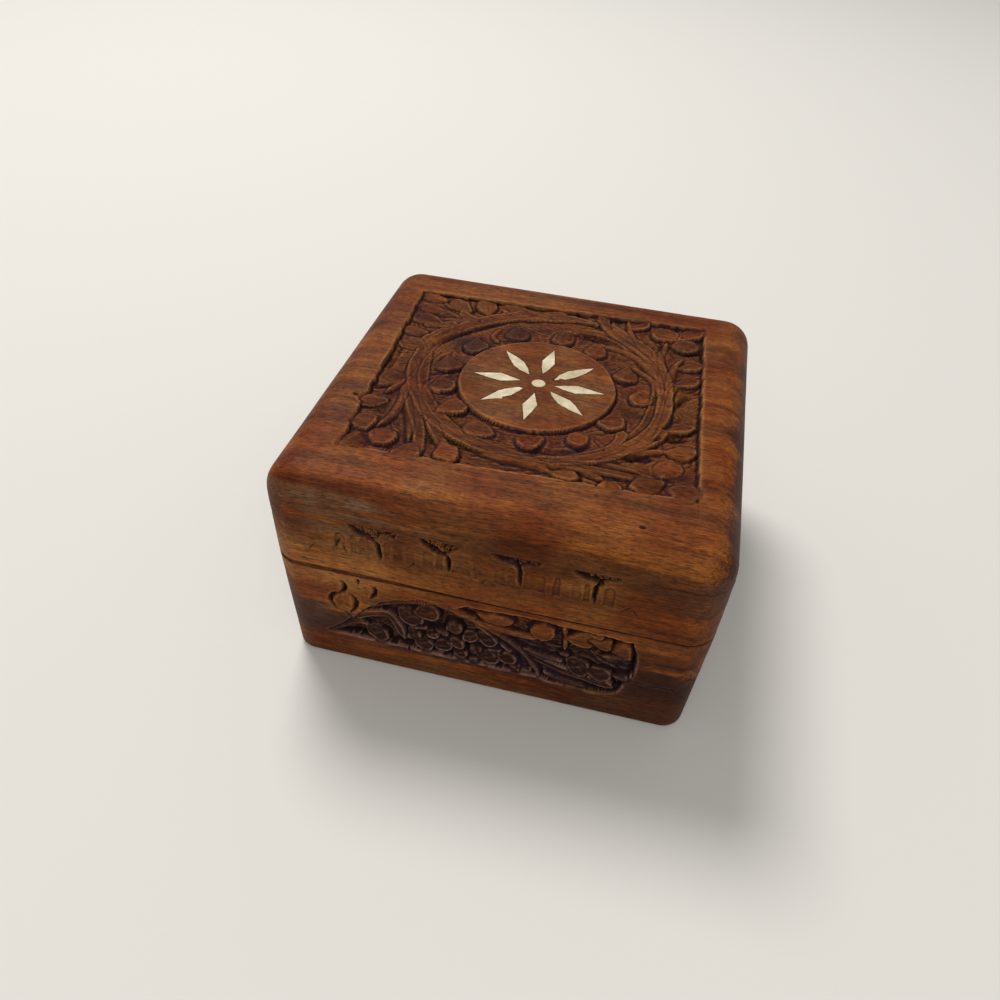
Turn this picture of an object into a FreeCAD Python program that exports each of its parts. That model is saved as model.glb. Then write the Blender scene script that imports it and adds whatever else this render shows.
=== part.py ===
import FreeCAD, Part
import math
import os

import Sketcher

# Small square trinket box in sheesham wood: a base tray and a deep hinged lid whose top
# board carries a sunken field round a raised medallion with an inlaid eight-pointed star.
# The origin is the middle of the underside, X runs to the right, Y to the back, Z up.

os.makedirs("parts", exist_ok=True)
doc = FreeCAD.newDocument("trinket_box")

# Driving dimensions in millimetres, angles in degrees.
DIMENSIONS = {
    # Outer form.
    "box_width": 102.0,
    "box_length": 102.0,
    "base_height": 32.8,
    "lid_height": 25.1,
    "seam_gap": 0.6,
    "corner_round": 7.4,
    "top_round": 6.9,
    "foot_round": 1.5,
    "lid_taper": 0.4,
    "base_taper": 1.8,
    # Boards.
    "wall": 9.0,
    "least_flat": 0.3,
    "base_board": 5.5,
    "lid_board": 9.0,
    # Sunken field of the top board and the medallion that stands in it.
    "field_width": 78.6,
    "field_length": 72.3,
    "field_shift_x": 0.2,
    "field_shift_y": 1.5,
    "field_turn": 2.3,
    "field_sink": 1.6,
    "medallion_radius": 19.0,
    # Inlaid star.
    "inlay_depth": 1.2,
    "inlay_fit": 0.05,
    "petal_inner": 4.4,
    "petal_outer": 16.2,
    "petal_middle": 9.6,
    "petal_width": 3.3,
    "dot_radius": 1.7,
    # Hinges at the back, with the pin line let into the back edge.
    "hinge_spacing": 56.0,
    "hinge_length": 20.0,
    "hinge_inset": 2.2,
    "leaf_length": 5.4,
    "leaf_thickness": 0.8,
    "leaf_gap": 0.2,
    "knuckle_radius": 1.7,
    "knuckle_gap": 0.15,
    "pin_radius": 0.75,
    "pin_fit": 0.05,
    "mortise_fit": 0.1,
    "barrel_fit": 0.25,
    "open_stop": 105.0,
    "stop_reach": 6.6,
    # Countersunk hinge screws.
    "screw_spacing": 12.0,
    "screw_inset": 3.5,
    "screw_radius": 0.65,
    "screw_head_radius": 1.2,
    "screw_length": 5.0,
}

# Direction of each petal, counted from +X, as the star was cut by hand.
PETAL_ANGLES = (0.0, 41.0, 87.0, 132.0, 180.0, 223.0, 269.0, 321.0)

KNUCKLES = 3
HINGE_SIDES = {"left": -1, "right": 1}

sheet = doc.addObject("Spreadsheet::Sheet", "sizes")


def add_size(row, alias, value):
    sheet.set(f"A{row}", alias)
    sheet.set(f"B{row}", str(value))
    sheet.setAlias(f"B{row}", alias)


for row, (alias, value) in enumerate(DIMENSIONS.items(), start=1):
    add_size(row, alias, value)
for index, angle in enumerate(PETAL_ANGLES, start=1):
    add_size(len(DIMENSIONS) + index, f"petal_angle_{index}", angle)
doc.recompute()

# Worked-out sizes and places, as expressions of the driving dimensions. Going down, the
# sides of the lid lean in by its taper, and those of the base by its own taper more.
SEAM_WIDTH = "(sizes.box_width - 2 * sizes.lid_taper)"
SEAM_LENGTH = "(sizes.box_length - 2 * sizes.lid_taper)"
SEAM_ROUND = "(sizes.corner_round - sizes.lid_taper)"
PIN_Y = "(sizes.box_length / 2 - sizes.hinge_inset)"
PIN_Z = "(sizes.base_height + sizes.seam_gap / 2)"
LID_BOTTOM = "(sizes.base_height + sizes.seam_gap)"
RAIL_HEIGHT = "(sizes.lid_height - sizes.lid_board)"
BOARD_BOTTOM = f"({LID_BOTTOM} + {RAIL_HEIGHT})"
TOP_FILLET = ("min(sizes.top_round; sizes.corner_round - sizes.least_flat;"
              " sizes.lid_board - sizes.least_flat)")
KNUCKLE_PITCH = f"((sizes.hinge_length + sizes.knuckle_gap) / {KNUCKLES})"
SCREW_HEAD = "(sizes.screw_head_radius - sizes.screw_radius)"


def number(expression):
    return float(sheet.evalExpression(expression.replace("sizes.", "")))


def bind(target, **expressions):
    for name, expression in expressions.items():
        target.setExpression(name.replace("__", "."), expression)


def place(target, x="0", y="0", z="0"):
    bind(target, Placement__Base__x=x, Placement__Base__y=y, Placement__Base__z=z)


def new_body(name):
    body = doc.addObject("PartDesign::Body", name)
    body.Label = name
    return body


def origin_plane(body, role):
    return next(item for item in body.Origin.OriginFeatures if item.Role == role)


def new_sketch(body, name, role="XY_Plane", height="0", turn=None, shift=("0", "0")):
    sketch = body.newObject("Sketcher::SketchObject", name)
    sketch.AttachmentSupport = (origin_plane(body, role), [""])
    sketch.MapMode = "FlatFace"
    if turn:
        # The axis is set first, so that the angle has a direction to turn about.
        sketch.AttachmentOffset = FreeCAD.Placement(
            FreeCAD.Vector(), FreeCAD.Rotation(FreeCAD.Vector(0, 0, 1), number(turn) or 1.0))
        sketch.setExpression("AttachmentOffset.Rotation.Angle", turn)
    bind(sketch, AttachmentOffset__Base__x=shift[0], AttachmentOffset__Base__y=shift[1],
         AttachmentOffset__Base__z=height)
    return sketch


def dimension(sketch, kind, references, name, expression):
    index = sketch.addConstraint(Sketcher.Constraint(kind, *references, number(expression)))
    sketch.renameConstraint(index, name)
    sketch.setExpression(f"Constraints.{name}", expression)


def draw_lines(sketch, corners):
    points = [FreeCAD.Vector(x, y, 0) for x, y in corners]
    closed = zip(points, points[1:] + points[:1])
    lines = sketch.addGeometry([Part.LineSegment(start, end) for start, end in closed])
    for line, following in zip(lines, lines[1:] + lines[:1]):
        sketch.addConstraint(Sketcher.Constraint("Coincident", line, 2, following, 1))
    return lines


def draw_rectangle(sketch, left, bottom, width, length):
    """Rectangle whose lower left corner is given from the sketch's origin."""
    x, y = number(left), number(bottom)
    w, d = number(width), number(length)
    lines = draw_lines(sketch, [(x, y), (x + w, y), (x + w, y + d), (x, y + d)])
    for line in (lines[0], lines[2]):
        sketch.addConstraint(Sketcher.Constraint("Horizontal", line))
    for line in (lines[1], lines[3]):
        sketch.addConstraint(Sketcher.Constraint("Vertical", line))
    first = lines[0]
    dimension(sketch, "DistanceX", (-1, 1, first, 1), f"left{first}", left)
    dimension(sketch, "DistanceY", (-1, 1, first, 1), f"bottom{first}", bottom)
    dimension(sketch, "DistanceX", (first, 1, first, 2), f"width{first}", width)
    dimension(sketch, "DistanceY", (lines[1], 1, lines[1], 2), f"length{first}", length)


def draw_circle(sketch, radius, x="0", y="0"):
    centre = FreeCAD.Vector(number(x), number(y), 0)
    circle = sketch.addGeometry(Part.Circle(centre, FreeCAD.Vector(0, 0, 1), number(radius)))
    dimension(sketch, "Radius", (circle,), f"radius{circle}", radius)
    if x == "0" and y == "0":
        sketch.addConstraint(Sketcher.Constraint("Coincident", circle, 3, -1, 1))
    else:
        dimension(sketch, "DistanceX", (-1, 1, circle, 3), f"x{circle}", x)
        dimension(sketch, "DistanceY", (-1, 1, circle, 3), f"y{circle}", y)


def draw_rounded_rectangle(sketch, width, length, radius):
    """Rectangle about the origin with a round at each corner."""
    w, d, r = number(width) / 2, number(length) / 2, number(radius)
    up = FreeCAD.Vector(0, 0, 1)
    corners = [(w - r, d - r, 0), (r - w, d - r, 90), (r - w, r - d, 180), (w - r, r - d, 270)]
    arcs = []
    for x, y, start in corners:
        circle = Part.Circle(FreeCAD.Vector(x, y, 0), up, r)
        arc = Part.ArcOfCircle(circle, math.radians(start), math.radians(start + 90))
        arcs.append(sketch.addGeometry(arc))
    ends = [((w - r, d), (r - w, d)), ((-w, d - r), (-w, r - d)),
            ((r - w, -d), (w - r, -d)), ((w, r - d), (w, d - r))]
    lines = []
    for (x1, y1), (x2, y2) in ends:
        line = Part.LineSegment(FreeCAD.Vector(x1, y1, 0), FreeCAD.Vector(x2, y2, 0))
        lines.append(sketch.addGeometry(line))
    for index, line in enumerate(lines):
        following = arcs[(index + 1) % 4]
        sketch.addConstraint(Sketcher.Constraint("Tangent", arcs[index], 2, line, 1))
        sketch.addConstraint(Sketcher.Constraint("Tangent", line, 2, following, 1))
    for arc in arcs[1:]:
        sketch.addConstraint(Sketcher.Constraint("Equal", arcs[0], arc))
    sketch.addConstraint(Sketcher.Constraint("Horizontal", lines[0]))
    sketch.addConstraint(Sketcher.Constraint("Vertical", lines[1]))
    sketch.addConstraint(Sketcher.Constraint("Symmetric", lines[0], 1, lines[2], 1, -1, 1))
    dimension(sketch, "Radius", (arcs[0],), "radius", radius)
    dimension(sketch, "DistanceX", (lines[1], 1, lines[3], 1), "width", width)
    dimension(sketch, "DistanceY", (lines[2], 1, lines[0], 1), "length", length)


def draw_petal(sketch, clearance):
    """Lozenge along +X with pointed tips, larger all round by the clearance."""
    inner = f"(sizes.petal_inner - {clearance})"
    outer = f"(sizes.petal_outer + {clearance})"
    half = f"(sizes.petal_width / 2 + {clearance})"
    a, b, c = number(inner), number(outer), number(half)
    middle = number("sizes.petal_middle")
    lines = draw_lines(sketch, [(a, 0), (middle, -c), (b, 0), (middle, c)])
    for line in (lines[0], lines[2]):
        sketch.addConstraint(Sketcher.Constraint("PointOnObject", line, 1, -1))
    sketch.addConstraint(Sketcher.Constraint("Symmetric", lines[1], 1, lines[3], 1, -1))
    dimension(sketch, "DistanceX", (-1, 1, lines[0], 1), "inner", inner)
    dimension(sketch, "DistanceX", (-1, 1, lines[2], 1), "outer", outer)
    dimension(sketch, "DistanceX", (-1, 1, lines[1], 1), "middle", "sizes.petal_middle")
    dimension(sketch, "DistanceY", (-1, 1, lines[3], 1), "half", half)


def new_pad(body, sketch, name, length, symmetric=False):
    pad = body.newObject("PartDesign::Pad", name)
    pad.Profile = sketch
    if symmetric:
        pad.SideType = "Symmetric"
    pad.setExpression("Length", length)
    return pad


def new_pocket(body, sketch, name, depth=None):
    """Pocket below the sketch, or through everything both ways where no depth is given."""
    pocket = body.newObject("PartDesign::Pocket", name)
    pocket.Profile = sketch
    if depth:
        pocket.setExpression("Length", depth)
    else:
        pocket.SideType = "Symmetric"
        pocket.Type = "ThroughAll"
    return pocket


def flat_edges(feature, height, keep=None):
    """Names of the feature's edges that lie at one height."""
    names = []
    for index, edge in enumerate(feature.Shape.Edges, start=1):
        box = edge.BoundBox
        if abs(box.ZMin - height) < 1e-4 and abs(box.ZMax - height) < 1e-4:
            if keep is None or keep(edge):
                names.append(f"Edge{index}")
    return names


def new_box(name, x, y, z, width, length, height):
    box = doc.addObject("Part::Box", name)
    bind(box, Length=width, Width=length, Height=height)
    place(box, x, y, z)
    return box


def new_cylinder(name, radius, height, x, y, z, along_x=False):
    cylinder = doc.addObject("Part::Cylinder", name)
    if along_x:
        cylinder.Placement.Rotation = FreeCAD.Rotation(FreeCAD.Vector(0, 1, 0), 90)
    bind(cylinder, Radius=radius, Height=height)
    place(cylinder, x, y, z)
    return cylinder


def cut_pieces(name, base, tools):
    union = doc.addObject("Part::MultiFuse", name + "_cutters")
    union.Shapes = tools
    cut = doc.addObject("Part::Cut", name)
    cut.Base = base
    cut.Tool = union
    return cut


def common(name, base, tool):
    piece = doc.addObject("Part::Common", name)
    piece.Base = base
    piece.Tool = tool
    return piece


def base_form():
    """Outer form of the base: it narrows towards the foot, whose edge is rounded."""
    body = new_body("base_form")
    foot = new_sketch(body, "base_foot_outline")
    draw_rounded_rectangle(foot, f"({SEAM_WIDTH} - 2 * sizes.base_taper)",
                           f"({SEAM_LENGTH} - 2 * sizes.base_taper)",
                           f"({SEAM_ROUND} - sizes.base_taper)")
    pad = new_pad(body, foot, "base_pad", "sizes.base_height")
    pad.setExpression("TaperAngle", "atan(sizes.base_taper / sizes.base_height)")
    doc.recompute()
    rounding = body.newObject("PartDesign::Fillet", "base_foot_round")
    rounding.Base = (pad, flat_edges(pad, 0.0))
    rounding.setExpression("Radius", "min(sizes.foot_round; sizes.base_board - sizes.least_flat)")
    body.Tip = rounding
    return body


def rail_form():
    """Outer form of the lid's frame, which widens a little up to its top board."""
    body = new_body("rail_form")
    outline = new_sketch(body, "rail_outline")
    draw_rounded_rectangle(outline, SEAM_WIDTH, SEAM_LENGTH, SEAM_ROUND)
    pad = new_pad(body, outline, "rail_pad", RAIL_HEIGHT)
    pad.setExpression("TaperAngle", f"atan(sizes.lid_taper / {RAIL_HEIGHT})")
    place(body, z=LID_BOTTOM)
    return body


def wall_blocks(prefix, bottom, height):
    """Four blocks of one wall thickness: front and back run full width, sides between.

    They reach past the outer form, which trims them.
    """
    past = 2
    left, front = f"(-sizes.box_width / 2 - {past})", f"(-sizes.box_length / 2 - {past})"
    back = "(sizes.box_length / 2 - sizes.wall)"
    right = "(sizes.box_width / 2 - sizes.wall)"
    side_front = "(sizes.wall - sizes.box_length / 2)"
    full = f"(sizes.box_width + 2 * {past})"
    between = "(sizes.box_length - 2 * sizes.wall)"
    wall = f"(sizes.wall + {past})"
    blocks = {
        "front": (left, front, full, wall),
        "back": (left, back, full, wall),
        "left": (left, side_front, wall, between),
        "right": (right, side_front, wall, between),
    }
    return {side: new_box(f"{prefix}_{side}_block", x, y, bottom, width, length, height)
            for side, (x, y, width, length) in blocks.items()}


def stop_wedge(prefix, turn):
    """Block turned about the pin line, which bevels the back edge so that the lid stops."""
    wedge = new_box(prefix + "_stop_wedge", "(-sizes.box_width / 2 - 1)", PIN_Y, PIN_Z,
                    "(sizes.box_width + 2)", "sizes.stop_reach", "sizes.stop_reach")
    wedge.Placement.Rotation = FreeCAD.Rotation(FreeCAD.Vector(1, 0, 0), number(turn))
    wedge.setExpression("Placement.Rotation.Angle", turn)
    return wedge


def hinge_cutters(prefix, level):
    """Mortises, barrel grooves and screw holes; level is -1 for the base, 1 for the lid."""
    cutters = []
    length = "(sizes.hinge_length + 2 * sizes.mortise_fit)"
    barrel = "(sizes.hinge_length + 2 * sizes.barrel_fit)"
    seat = "(sizes.leaf_gap / 2 + sizes.leaf_thickness)"
    for side, sign in HINGE_SIDES.items():
        middle = f"({sign} * sizes.hinge_spacing / 2)"
        mortise_z = f"({PIN_Z} - {seat})" if level < 0 else PIN_Z
        cutters.append(new_box(
            f"{prefix}_{side}_mortise", f"({middle} - {length} / 2)",
            f"({PIN_Y} - sizes.leaf_length - sizes.mortise_fit)", mortise_z, length,
            "(sizes.leaf_length + sizes.mortise_fit)", seat))
        cutters.append(new_cylinder(
            f"{prefix}_{side}_barrel_groove", "(sizes.knuckle_radius + sizes.barrel_fit)",
            barrel, f"({middle} - {barrel} / 2)", PIN_Y, PIN_Z, along_x=True))
        for index, screw_x in enumerate(screw_places(middle), start=1):
            foot = f"({PIN_Z} - sizes.screw_length)" if level < 0 else PIN_Z
            cutters.append(new_cylinder(
                f"{prefix}_{side}_pilot_{index}", "sizes.screw_radius",
                "sizes.screw_length", screw_x, f"({PIN_Y} - sizes.screw_inset)", foot))
    return cutters


def screw_places(middle):
    return [f"({middle} + {sign} * sizes.screw_spacing / 2)" for sign in (-1, 1)]


def base_pieces():
    form = base_form()
    board_block = new_box("base_board_block", "(-sizes.box_width / 2)",
                          "(-sizes.box_length / 2)", "0", "sizes.box_width",
                          "sizes.box_length", "sizes.base_board")
    pieces = {"base_board": common("base_board", form, board_block)}
    blocks = wall_blocks("base", "sizes.base_board", "(sizes.base_height - sizes.base_board)")
    for side, block in blocks.items():
        name = f"base_{side}_wall"
        if side == "back":
            blank = common(name + "_blank", form, block)
            wedge = stop_wedge("base", "(-sizes.open_stop / 2)")
            pieces[name] = cut_pieces(name, blank, [wedge] + hinge_cutters("base", -1))
        else:
            pieces[name] = common(name, form, block)
    return pieces


def lid_rails():
    form = rail_form()
    pieces = {}
    for side, block in wall_blocks("lid", LID_BOTTOM, RAIL_HEIGHT).items():
        name = f"lid_{side}_rail"
        if side == "back":
            blank = common(name + "_blank", form, block)
            wedge = stop_wedge("lid", "(sizes.open_stop / 2 - 90)")
            pieces[name] = cut_pieces(name, blank, [wedge] + hinge_cutters("lid", 1))
        else:
            pieces[name] = common(name, form, block)
    return pieces


def lid_top_board():
    """Rounded board with the sunken field, the medallion left standing and its pockets."""
    body = new_body("lid_top_board")
    outline = new_sketch(body, "board_outline")
    draw_rounded_rectangle(outline, "sizes.box_width", "sizes.box_length",
                           "sizes.corner_round")
    pad = new_pad(body, outline, "board_pad", "sizes.lid_board")
    doc.recompute()
    rounding = body.newObject("PartDesign::Fillet", "board_top_round")
    rounding.Base = (pad, flat_edges(pad, number("sizes.lid_board")))
    rounding.setExpression("Radius", TOP_FILLET)
    body.Tip = rounding

    field = new_sketch(body, "field_outline", height="sizes.lid_board",
                       turn="sizes.field_turn",
                       shift=("sizes.field_shift_x", "sizes.field_shift_y"))
    draw_rectangle(field, "(-sizes.field_width / 2)", "(-sizes.field_length / 2)",
                   "sizes.field_width", "sizes.field_length")
    new_pocket(body, field, "sunken_field", "sizes.field_sink")

    disc = new_sketch(body, "medallion_outline",
                      height="(sizes.lid_board - sizes.field_sink)")
    draw_circle(disc, "sizes.medallion_radius")
    new_pad(body, disc, "medallion", "sizes.field_sink")

    for index in range(1, len(PETAL_ANGLES) + 1):
        outline = new_sketch(body, f"petal_pocket_outline_{index}", height="sizes.lid_board",
                             turn=f"sizes.petal_angle_{index}")
        draw_petal(outline, "sizes.inlay_fit")
        new_pocket(body, outline, f"petal_pocket_{index}", "sizes.inlay_depth")
    dot = new_sketch(body, "dot_pocket_outline", height="sizes.lid_board")
    draw_circle(dot, "(sizes.dot_radius + sizes.inlay_fit)")
    body.Tip = new_pocket(body, dot, "dot_pocket", "sizes.inlay_depth")
    place(body, z=BOARD_BOTTOM)
    return body


def inlays():
    """Eight petals and the dot, each resting on the floor of its own pocket."""
    pieces = {}
    floor = f"({BOARD_BOTTOM} + sizes.lid_board - sizes.inlay_depth)"
    for index in range(1, len(PETAL_ANGLES) + 1):
        name = f"inlay_petal_{index}"
        body = new_body(name)
        outline = new_sketch(body, f"petal_outline_{index}",
                             turn=f"sizes.petal_angle_{index}")
        draw_petal(outline, "0")
        new_pad(body, outline, f"petal_pad_{index}", "sizes.inlay_depth")
        place(body, z=floor)
        pieces[name] = body
    dot = new_body("inlay_dot")
    outline = new_sketch(dot, "dot_outline")
    draw_circle(outline, "sizes.dot_radius")
    new_pad(dot, outline, "dot_pad", "sizes.inlay_depth")
    place(dot, z=floor)
    pieces["inlay_dot"] = dot
    return pieces


def hinge_leaf(name, side, level):
    """Leaf about the pin line: plate, barrel, gaps for the other leaf's knuckles, bore."""
    body = new_body(name)
    plate = new_sketch(body, name + "_plate_outline", "YZ_Plane")
    low = "(sizes.leaf_gap / 2)" if level > 0 else "(-sizes.leaf_gap / 2 - sizes.leaf_thickness)"
    draw_rectangle(plate, "(-sizes.leaf_length)", low, "sizes.leaf_length",
                   "sizes.leaf_thickness")
    new_pad(body, plate, name + "_plate", "sizes.hinge_length", symmetric=True)
    barrel = new_sketch(body, name + "_barrel_outline", "YZ_Plane")
    draw_circle(barrel, "sizes.knuckle_radius")
    new_pad(body, barrel, name + "_barrel", "sizes.hinge_length", symmetric=True)

    gaps = new_sketch(body, name + "_gap_outline")
    reach = "(sizes.knuckle_radius + sizes.barrel_fit)"
    taken = range(1, KNUCKLES, 2) if level < 0 else range(0, KNUCKLES, 2)
    for knuckle in taken:
        start = (f"(-sizes.hinge_length / 2 - sizes.knuckle_gap"
                 f" + {knuckle} * {KNUCKLE_PITCH})")
        draw_rectangle(gaps, start, f"(-{reach})",
                       f"({KNUCKLE_PITCH} + sizes.knuckle_gap)", f"(2 * {reach})")
    new_pocket(body, gaps, name + "_gaps")
    bore = new_sketch(body, name + "_bore_outline", "YZ_Plane")
    draw_circle(bore, "(sizes.pin_radius + sizes.pin_fit)")
    new_pocket(body, bore, name + "_bore")

    holes = new_sketch(body, name + "_screw_hole_outline")
    for screw_x in screw_places("0"):
        draw_circle(holes, "sizes.screw_radius", screw_x, "(-sizes.screw_inset)")
    drilled = new_pocket(body, holes, name + "_screw_holes")
    doc.recompute()
    sink = body.newObject("PartDesign::Chamfer", name + "_countersinks")
    face_height = level * number("sizes.leaf_gap / 2")
    sink.Base = (drilled, flat_edges(drilled, face_height, is_screw_rim))
    sink.setExpression("Size", SCREW_HEAD)
    body.Tip = sink
    sign = HINGE_SIDES[side]
    place(body, f"({sign} * sizes.hinge_spacing / 2)", PIN_Y, PIN_Z)
    return body


def is_screw_rim(edge):
    radius = getattr(edge.Curve, "Radius", 0.0)
    return abs(radius - number("sizes.screw_radius")) < 1e-4


def hinge_pin(side):
    name = f"{side}_hinge_pin"
    middle = f"({HINGE_SIDES[side]} * sizes.hinge_spacing / 2)"
    return new_cylinder(name, "sizes.pin_radius", "sizes.hinge_length",
                        f"({middle} - sizes.hinge_length / 2)", PIN_Y, PIN_Z, along_x=True)


def screw_pair(name, side, level):
    """Two countersunk screws, driven down into the base or up into the lid."""
    middle = f"({HINGE_SIDES[side]} * sizes.hinge_spacing / 2)"
    face = f"({PIN_Z} + {level} * sizes.leaf_gap / 2)"
    screws = []
    for index, screw_x in enumerate(screw_places(middle), start=1):
        y = f"({PIN_Y} - sizes.screw_inset)"
        shank_z = f"({PIN_Z} - sizes.screw_length)" if level < 0 else face
        head_z = f"({face} - {SCREW_HEAD})" if level < 0 else face
        shank = new_cylinder(f"{name}_shank_{index}", "sizes.screw_radius",
                             "(sizes.screw_length - sizes.leaf_gap / 2)",
                             screw_x, y, shank_z)
        head = doc.addObject("Part::Cone", f"{name}_head_{index}")
        small, large = "sizes.screw_radius", "sizes.screw_head_radius"
        first, second = (small, large) if level < 0 else (large, small)
        bind(head, Radius1=first, Radius2=second, Height=SCREW_HEAD)
        place(head, screw_x, y, head_z)
        screw = doc.addObject("Part::Fuse", f"{name}_screw_{index}")
        screw.Base = shank
        screw.Tool = head
        screws.append(screw)
    pair = doc.addObject("Part::Compound", name)
    pair.Links = screws
    return pair


def hinges():
    pieces = {}
    for side in HINGE_SIDES:
        for part, level in (("base", -1), ("lid", 1)):
            leaf = f"{side}_hinge_{part}_leaf"
            pieces[leaf] = hinge_leaf(leaf, side, level)
            screws = f"{side}_hinge_{part}_screws"
            pieces[screws] = screw_pair(screws, side, level)
        pieces[f"{side}_hinge_pin"] = hinge_pin(side)
    return pieces


def check(pieces):
    for item in doc.Objects:
        if "Invalid" in item.State or "Error" in item.State:
            raise RuntimeError(f"{item.Name} did not build: {item.State}")
    for name, piece in pieces.items():
        if piece.Shape.isNull() or not piece.Shape.isValid():
            raise RuntimeError(f"{name} has no valid shape")


def main():
    pieces = {**base_pieces(), **lid_rails(), "lid_top_board": lid_top_board()}
    pieces.update(inlays())
    pieces.update(hinges())
    doc.recompute()
    check(pieces)
    for name, piece in pieces.items():
        piece.Label = name
        piece.Shape.exportStep(f"parts/{name}.step")
        solids = len(piece.Shape.Solids)
        print(f"{name}: {solids} solid(s), {piece.Shape.Volume / 1000:.3f} cm3")


main()
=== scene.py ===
"""Hand-carved sheesham trinket box: its carving, wood, inlay, hinges and a plain stage."""

import math
from collections import namedtuple

import bmesh
import bpy
import numpy as np
from mathutils import Matrix, Vector


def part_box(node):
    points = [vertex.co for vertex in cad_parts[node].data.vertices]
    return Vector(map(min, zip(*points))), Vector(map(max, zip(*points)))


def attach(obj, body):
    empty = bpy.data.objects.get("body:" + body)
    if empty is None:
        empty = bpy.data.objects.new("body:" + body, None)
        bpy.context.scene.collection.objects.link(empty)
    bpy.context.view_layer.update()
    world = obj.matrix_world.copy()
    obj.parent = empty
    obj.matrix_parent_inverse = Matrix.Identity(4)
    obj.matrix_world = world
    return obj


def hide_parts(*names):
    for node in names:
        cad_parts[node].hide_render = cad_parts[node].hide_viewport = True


bl_info = {
    "name": "Carved Trinket Box",
    "version": (1, 0, 0),
    "blender": (4, 5, 0),
    "location": "View3D > Sidebar > Trinket Box",
    "description": "Carves and finishes the pieces of a small hinged sheesham box",
    "category": "Object",
}

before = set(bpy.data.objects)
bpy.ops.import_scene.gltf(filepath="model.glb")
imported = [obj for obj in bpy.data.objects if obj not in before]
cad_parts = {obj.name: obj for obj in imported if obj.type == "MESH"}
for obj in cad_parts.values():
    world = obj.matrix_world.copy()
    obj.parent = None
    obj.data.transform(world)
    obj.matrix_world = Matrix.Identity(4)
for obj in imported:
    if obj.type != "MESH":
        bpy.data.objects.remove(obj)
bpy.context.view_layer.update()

MM = 0.001
BOARD_LOW, BOARD_HIGH = (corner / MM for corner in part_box("lid_top_board"))
RAIL_LOW, RAIL_HIGH = (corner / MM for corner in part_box("lid_front_rail"))
WALL_LOW, WALL_HIGH = (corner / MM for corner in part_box("base_front_wall"))
FOOT_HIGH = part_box("base_board")[1] / MM
HALF_WIDTH = BOARD_HIGH.x
BOX_TOP = BOARD_HIGH.z
WALL = RAIL_HIGH.y - RAIL_LOW.y
BASE_RIM = WALL_HIGH.z
SEAM_INSET = HALF_WIDTH - WALL_HIGH.x
BASE_LEAN = (WALL_HIGH.x - FOOT_HIGH.x) / (WALL_HIGH.z - FOOT_HIGH.z)
CORNER_ROUND = 7.4
TOP_DROP = 6.9
FOOT_ROUND = 1.5
SEAM_CLOSING = 0.35
WORN_RIM = 0.6
SCREW_HEAD, SCREW_SHANK, SCREW_LENGTH = 1.2, 0.65, 4.9
SCREW_SPACING = 12.0
SLOT_WIDTH, SLOT_DEPTH = 0.34, 0.38


# The star: direction of each petal, counted from the right, and its outline along that
# direction, as it was cut by hand.

STAR = {
    0: ((4.0, -0.1), (6.4, -1.0), (9.4, -1.75), (12.6, -0.9), (16.2, 0.0), (12.4, 1.0),
        (9.6, 1.65), (6.6, 0.9)),
    41: ((4.2, -0.4), (5.3, -0.75), (5.9, -0.3), (6.8, -1.35), (9.6, -1.5), (13.0, -1.0),
         (16.1, 0.1), (12.4, 1.15), (9.4, 1.6), (6.4, 1.0)),
    87: ((4.4, 0.0), (6.6, -0.9), (9.8, -1.7), (12.6, -1.0), (16.0, -0.1), (13.2, 0.8),
         (10.4, 1.65), (7.0, 1.0)),
    132: ((4.3, 0.1), (6.6, -0.9), (9.8, -1.55), (12.4, -1.1), (16.3, 0.0), (12.8, 1.0),
          (9.4, 1.6), (7.2, 1.3)),
    180: ((4.5, 0.0), (7.0, -0.8), (9.8, -1.75), (12.8, -0.9), (16.2, 0.1), (12.0, 1.2),
          (9.2, 1.7), (6.8, 0.9)),
    223: ((4.5, 0.2), (5.2, -0.7), (8.4, -1.5), (10.4, -1.6), (12.6, -1.0), (16.2, 0.0),
          (13.0, 0.9), (11.2, 1.7), (10.9, 1.2), (8.6, 1.5), (6.0, 0.8)),
    269: ((4.4, 0.0), (7.4, -0.9), (9.8, -1.75), (11.2, -1.3), (15.9, 0.0), (12.4, 1.0),
          (9.8, 1.6), (9.2, 1.75), (6.8, 0.9)),
    321: ((4.4, 0.1), (6.0, -0.8), (9.2, -1.6), (10.2, -1.5), (13.0, -1.0), (16.3, 0.0),
          (12.4, 1.25), (9.8, 1.65), (8.0, 1.1)),
}


# Carving tools. A relief is worked out in millimetres on a grid of one face, where 0 is
# the uncut face and negative numbers are cut away.

Petal = namedtuple("Petal", "x y length width angle form level over",
                   defaults=("flat", -0.22, False))
Strand = namedtuple("Strand", "points start end level form", defaults=(-0.15, "ribbon"))
Cut = namedtuple("Cut", "points width depth")
Raised = namedtuple("Raised", "where inside shape steep tone", defaults=(1.0, 0.0))


def smooth(low, high, value):
    share = np.clip((value - low) / (high - low), 0.0, 1.0)
    return share * share * (3.0 - 2.0 * share)


def uneven(x, y, cell, seed):
    """Smooth unevenness from -1 to 1, in bumps about one cell wide."""
    table = np.random.default_rng(seed).uniform(-1.0, 1.0, (97, 89))
    px, py = x / cell + 512.0, y / cell + 512.0
    column, row = np.floor(px).astype(int), np.floor(py).astype(int)
    fx, fy = smooth(0.0, 1.0, px - column), smooth(0.0, 1.0, py - row)

    def corner(i, j):
        return table[(column + i) % 97, (row + j) % 89]

    near = corner(0, 0) * (1 - fx) + corner(1, 0) * fx
    far = corner(0, 1) * (1 - fx) + corner(1, 1) * fx
    return near * (1 - fy) + far * fy


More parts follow.
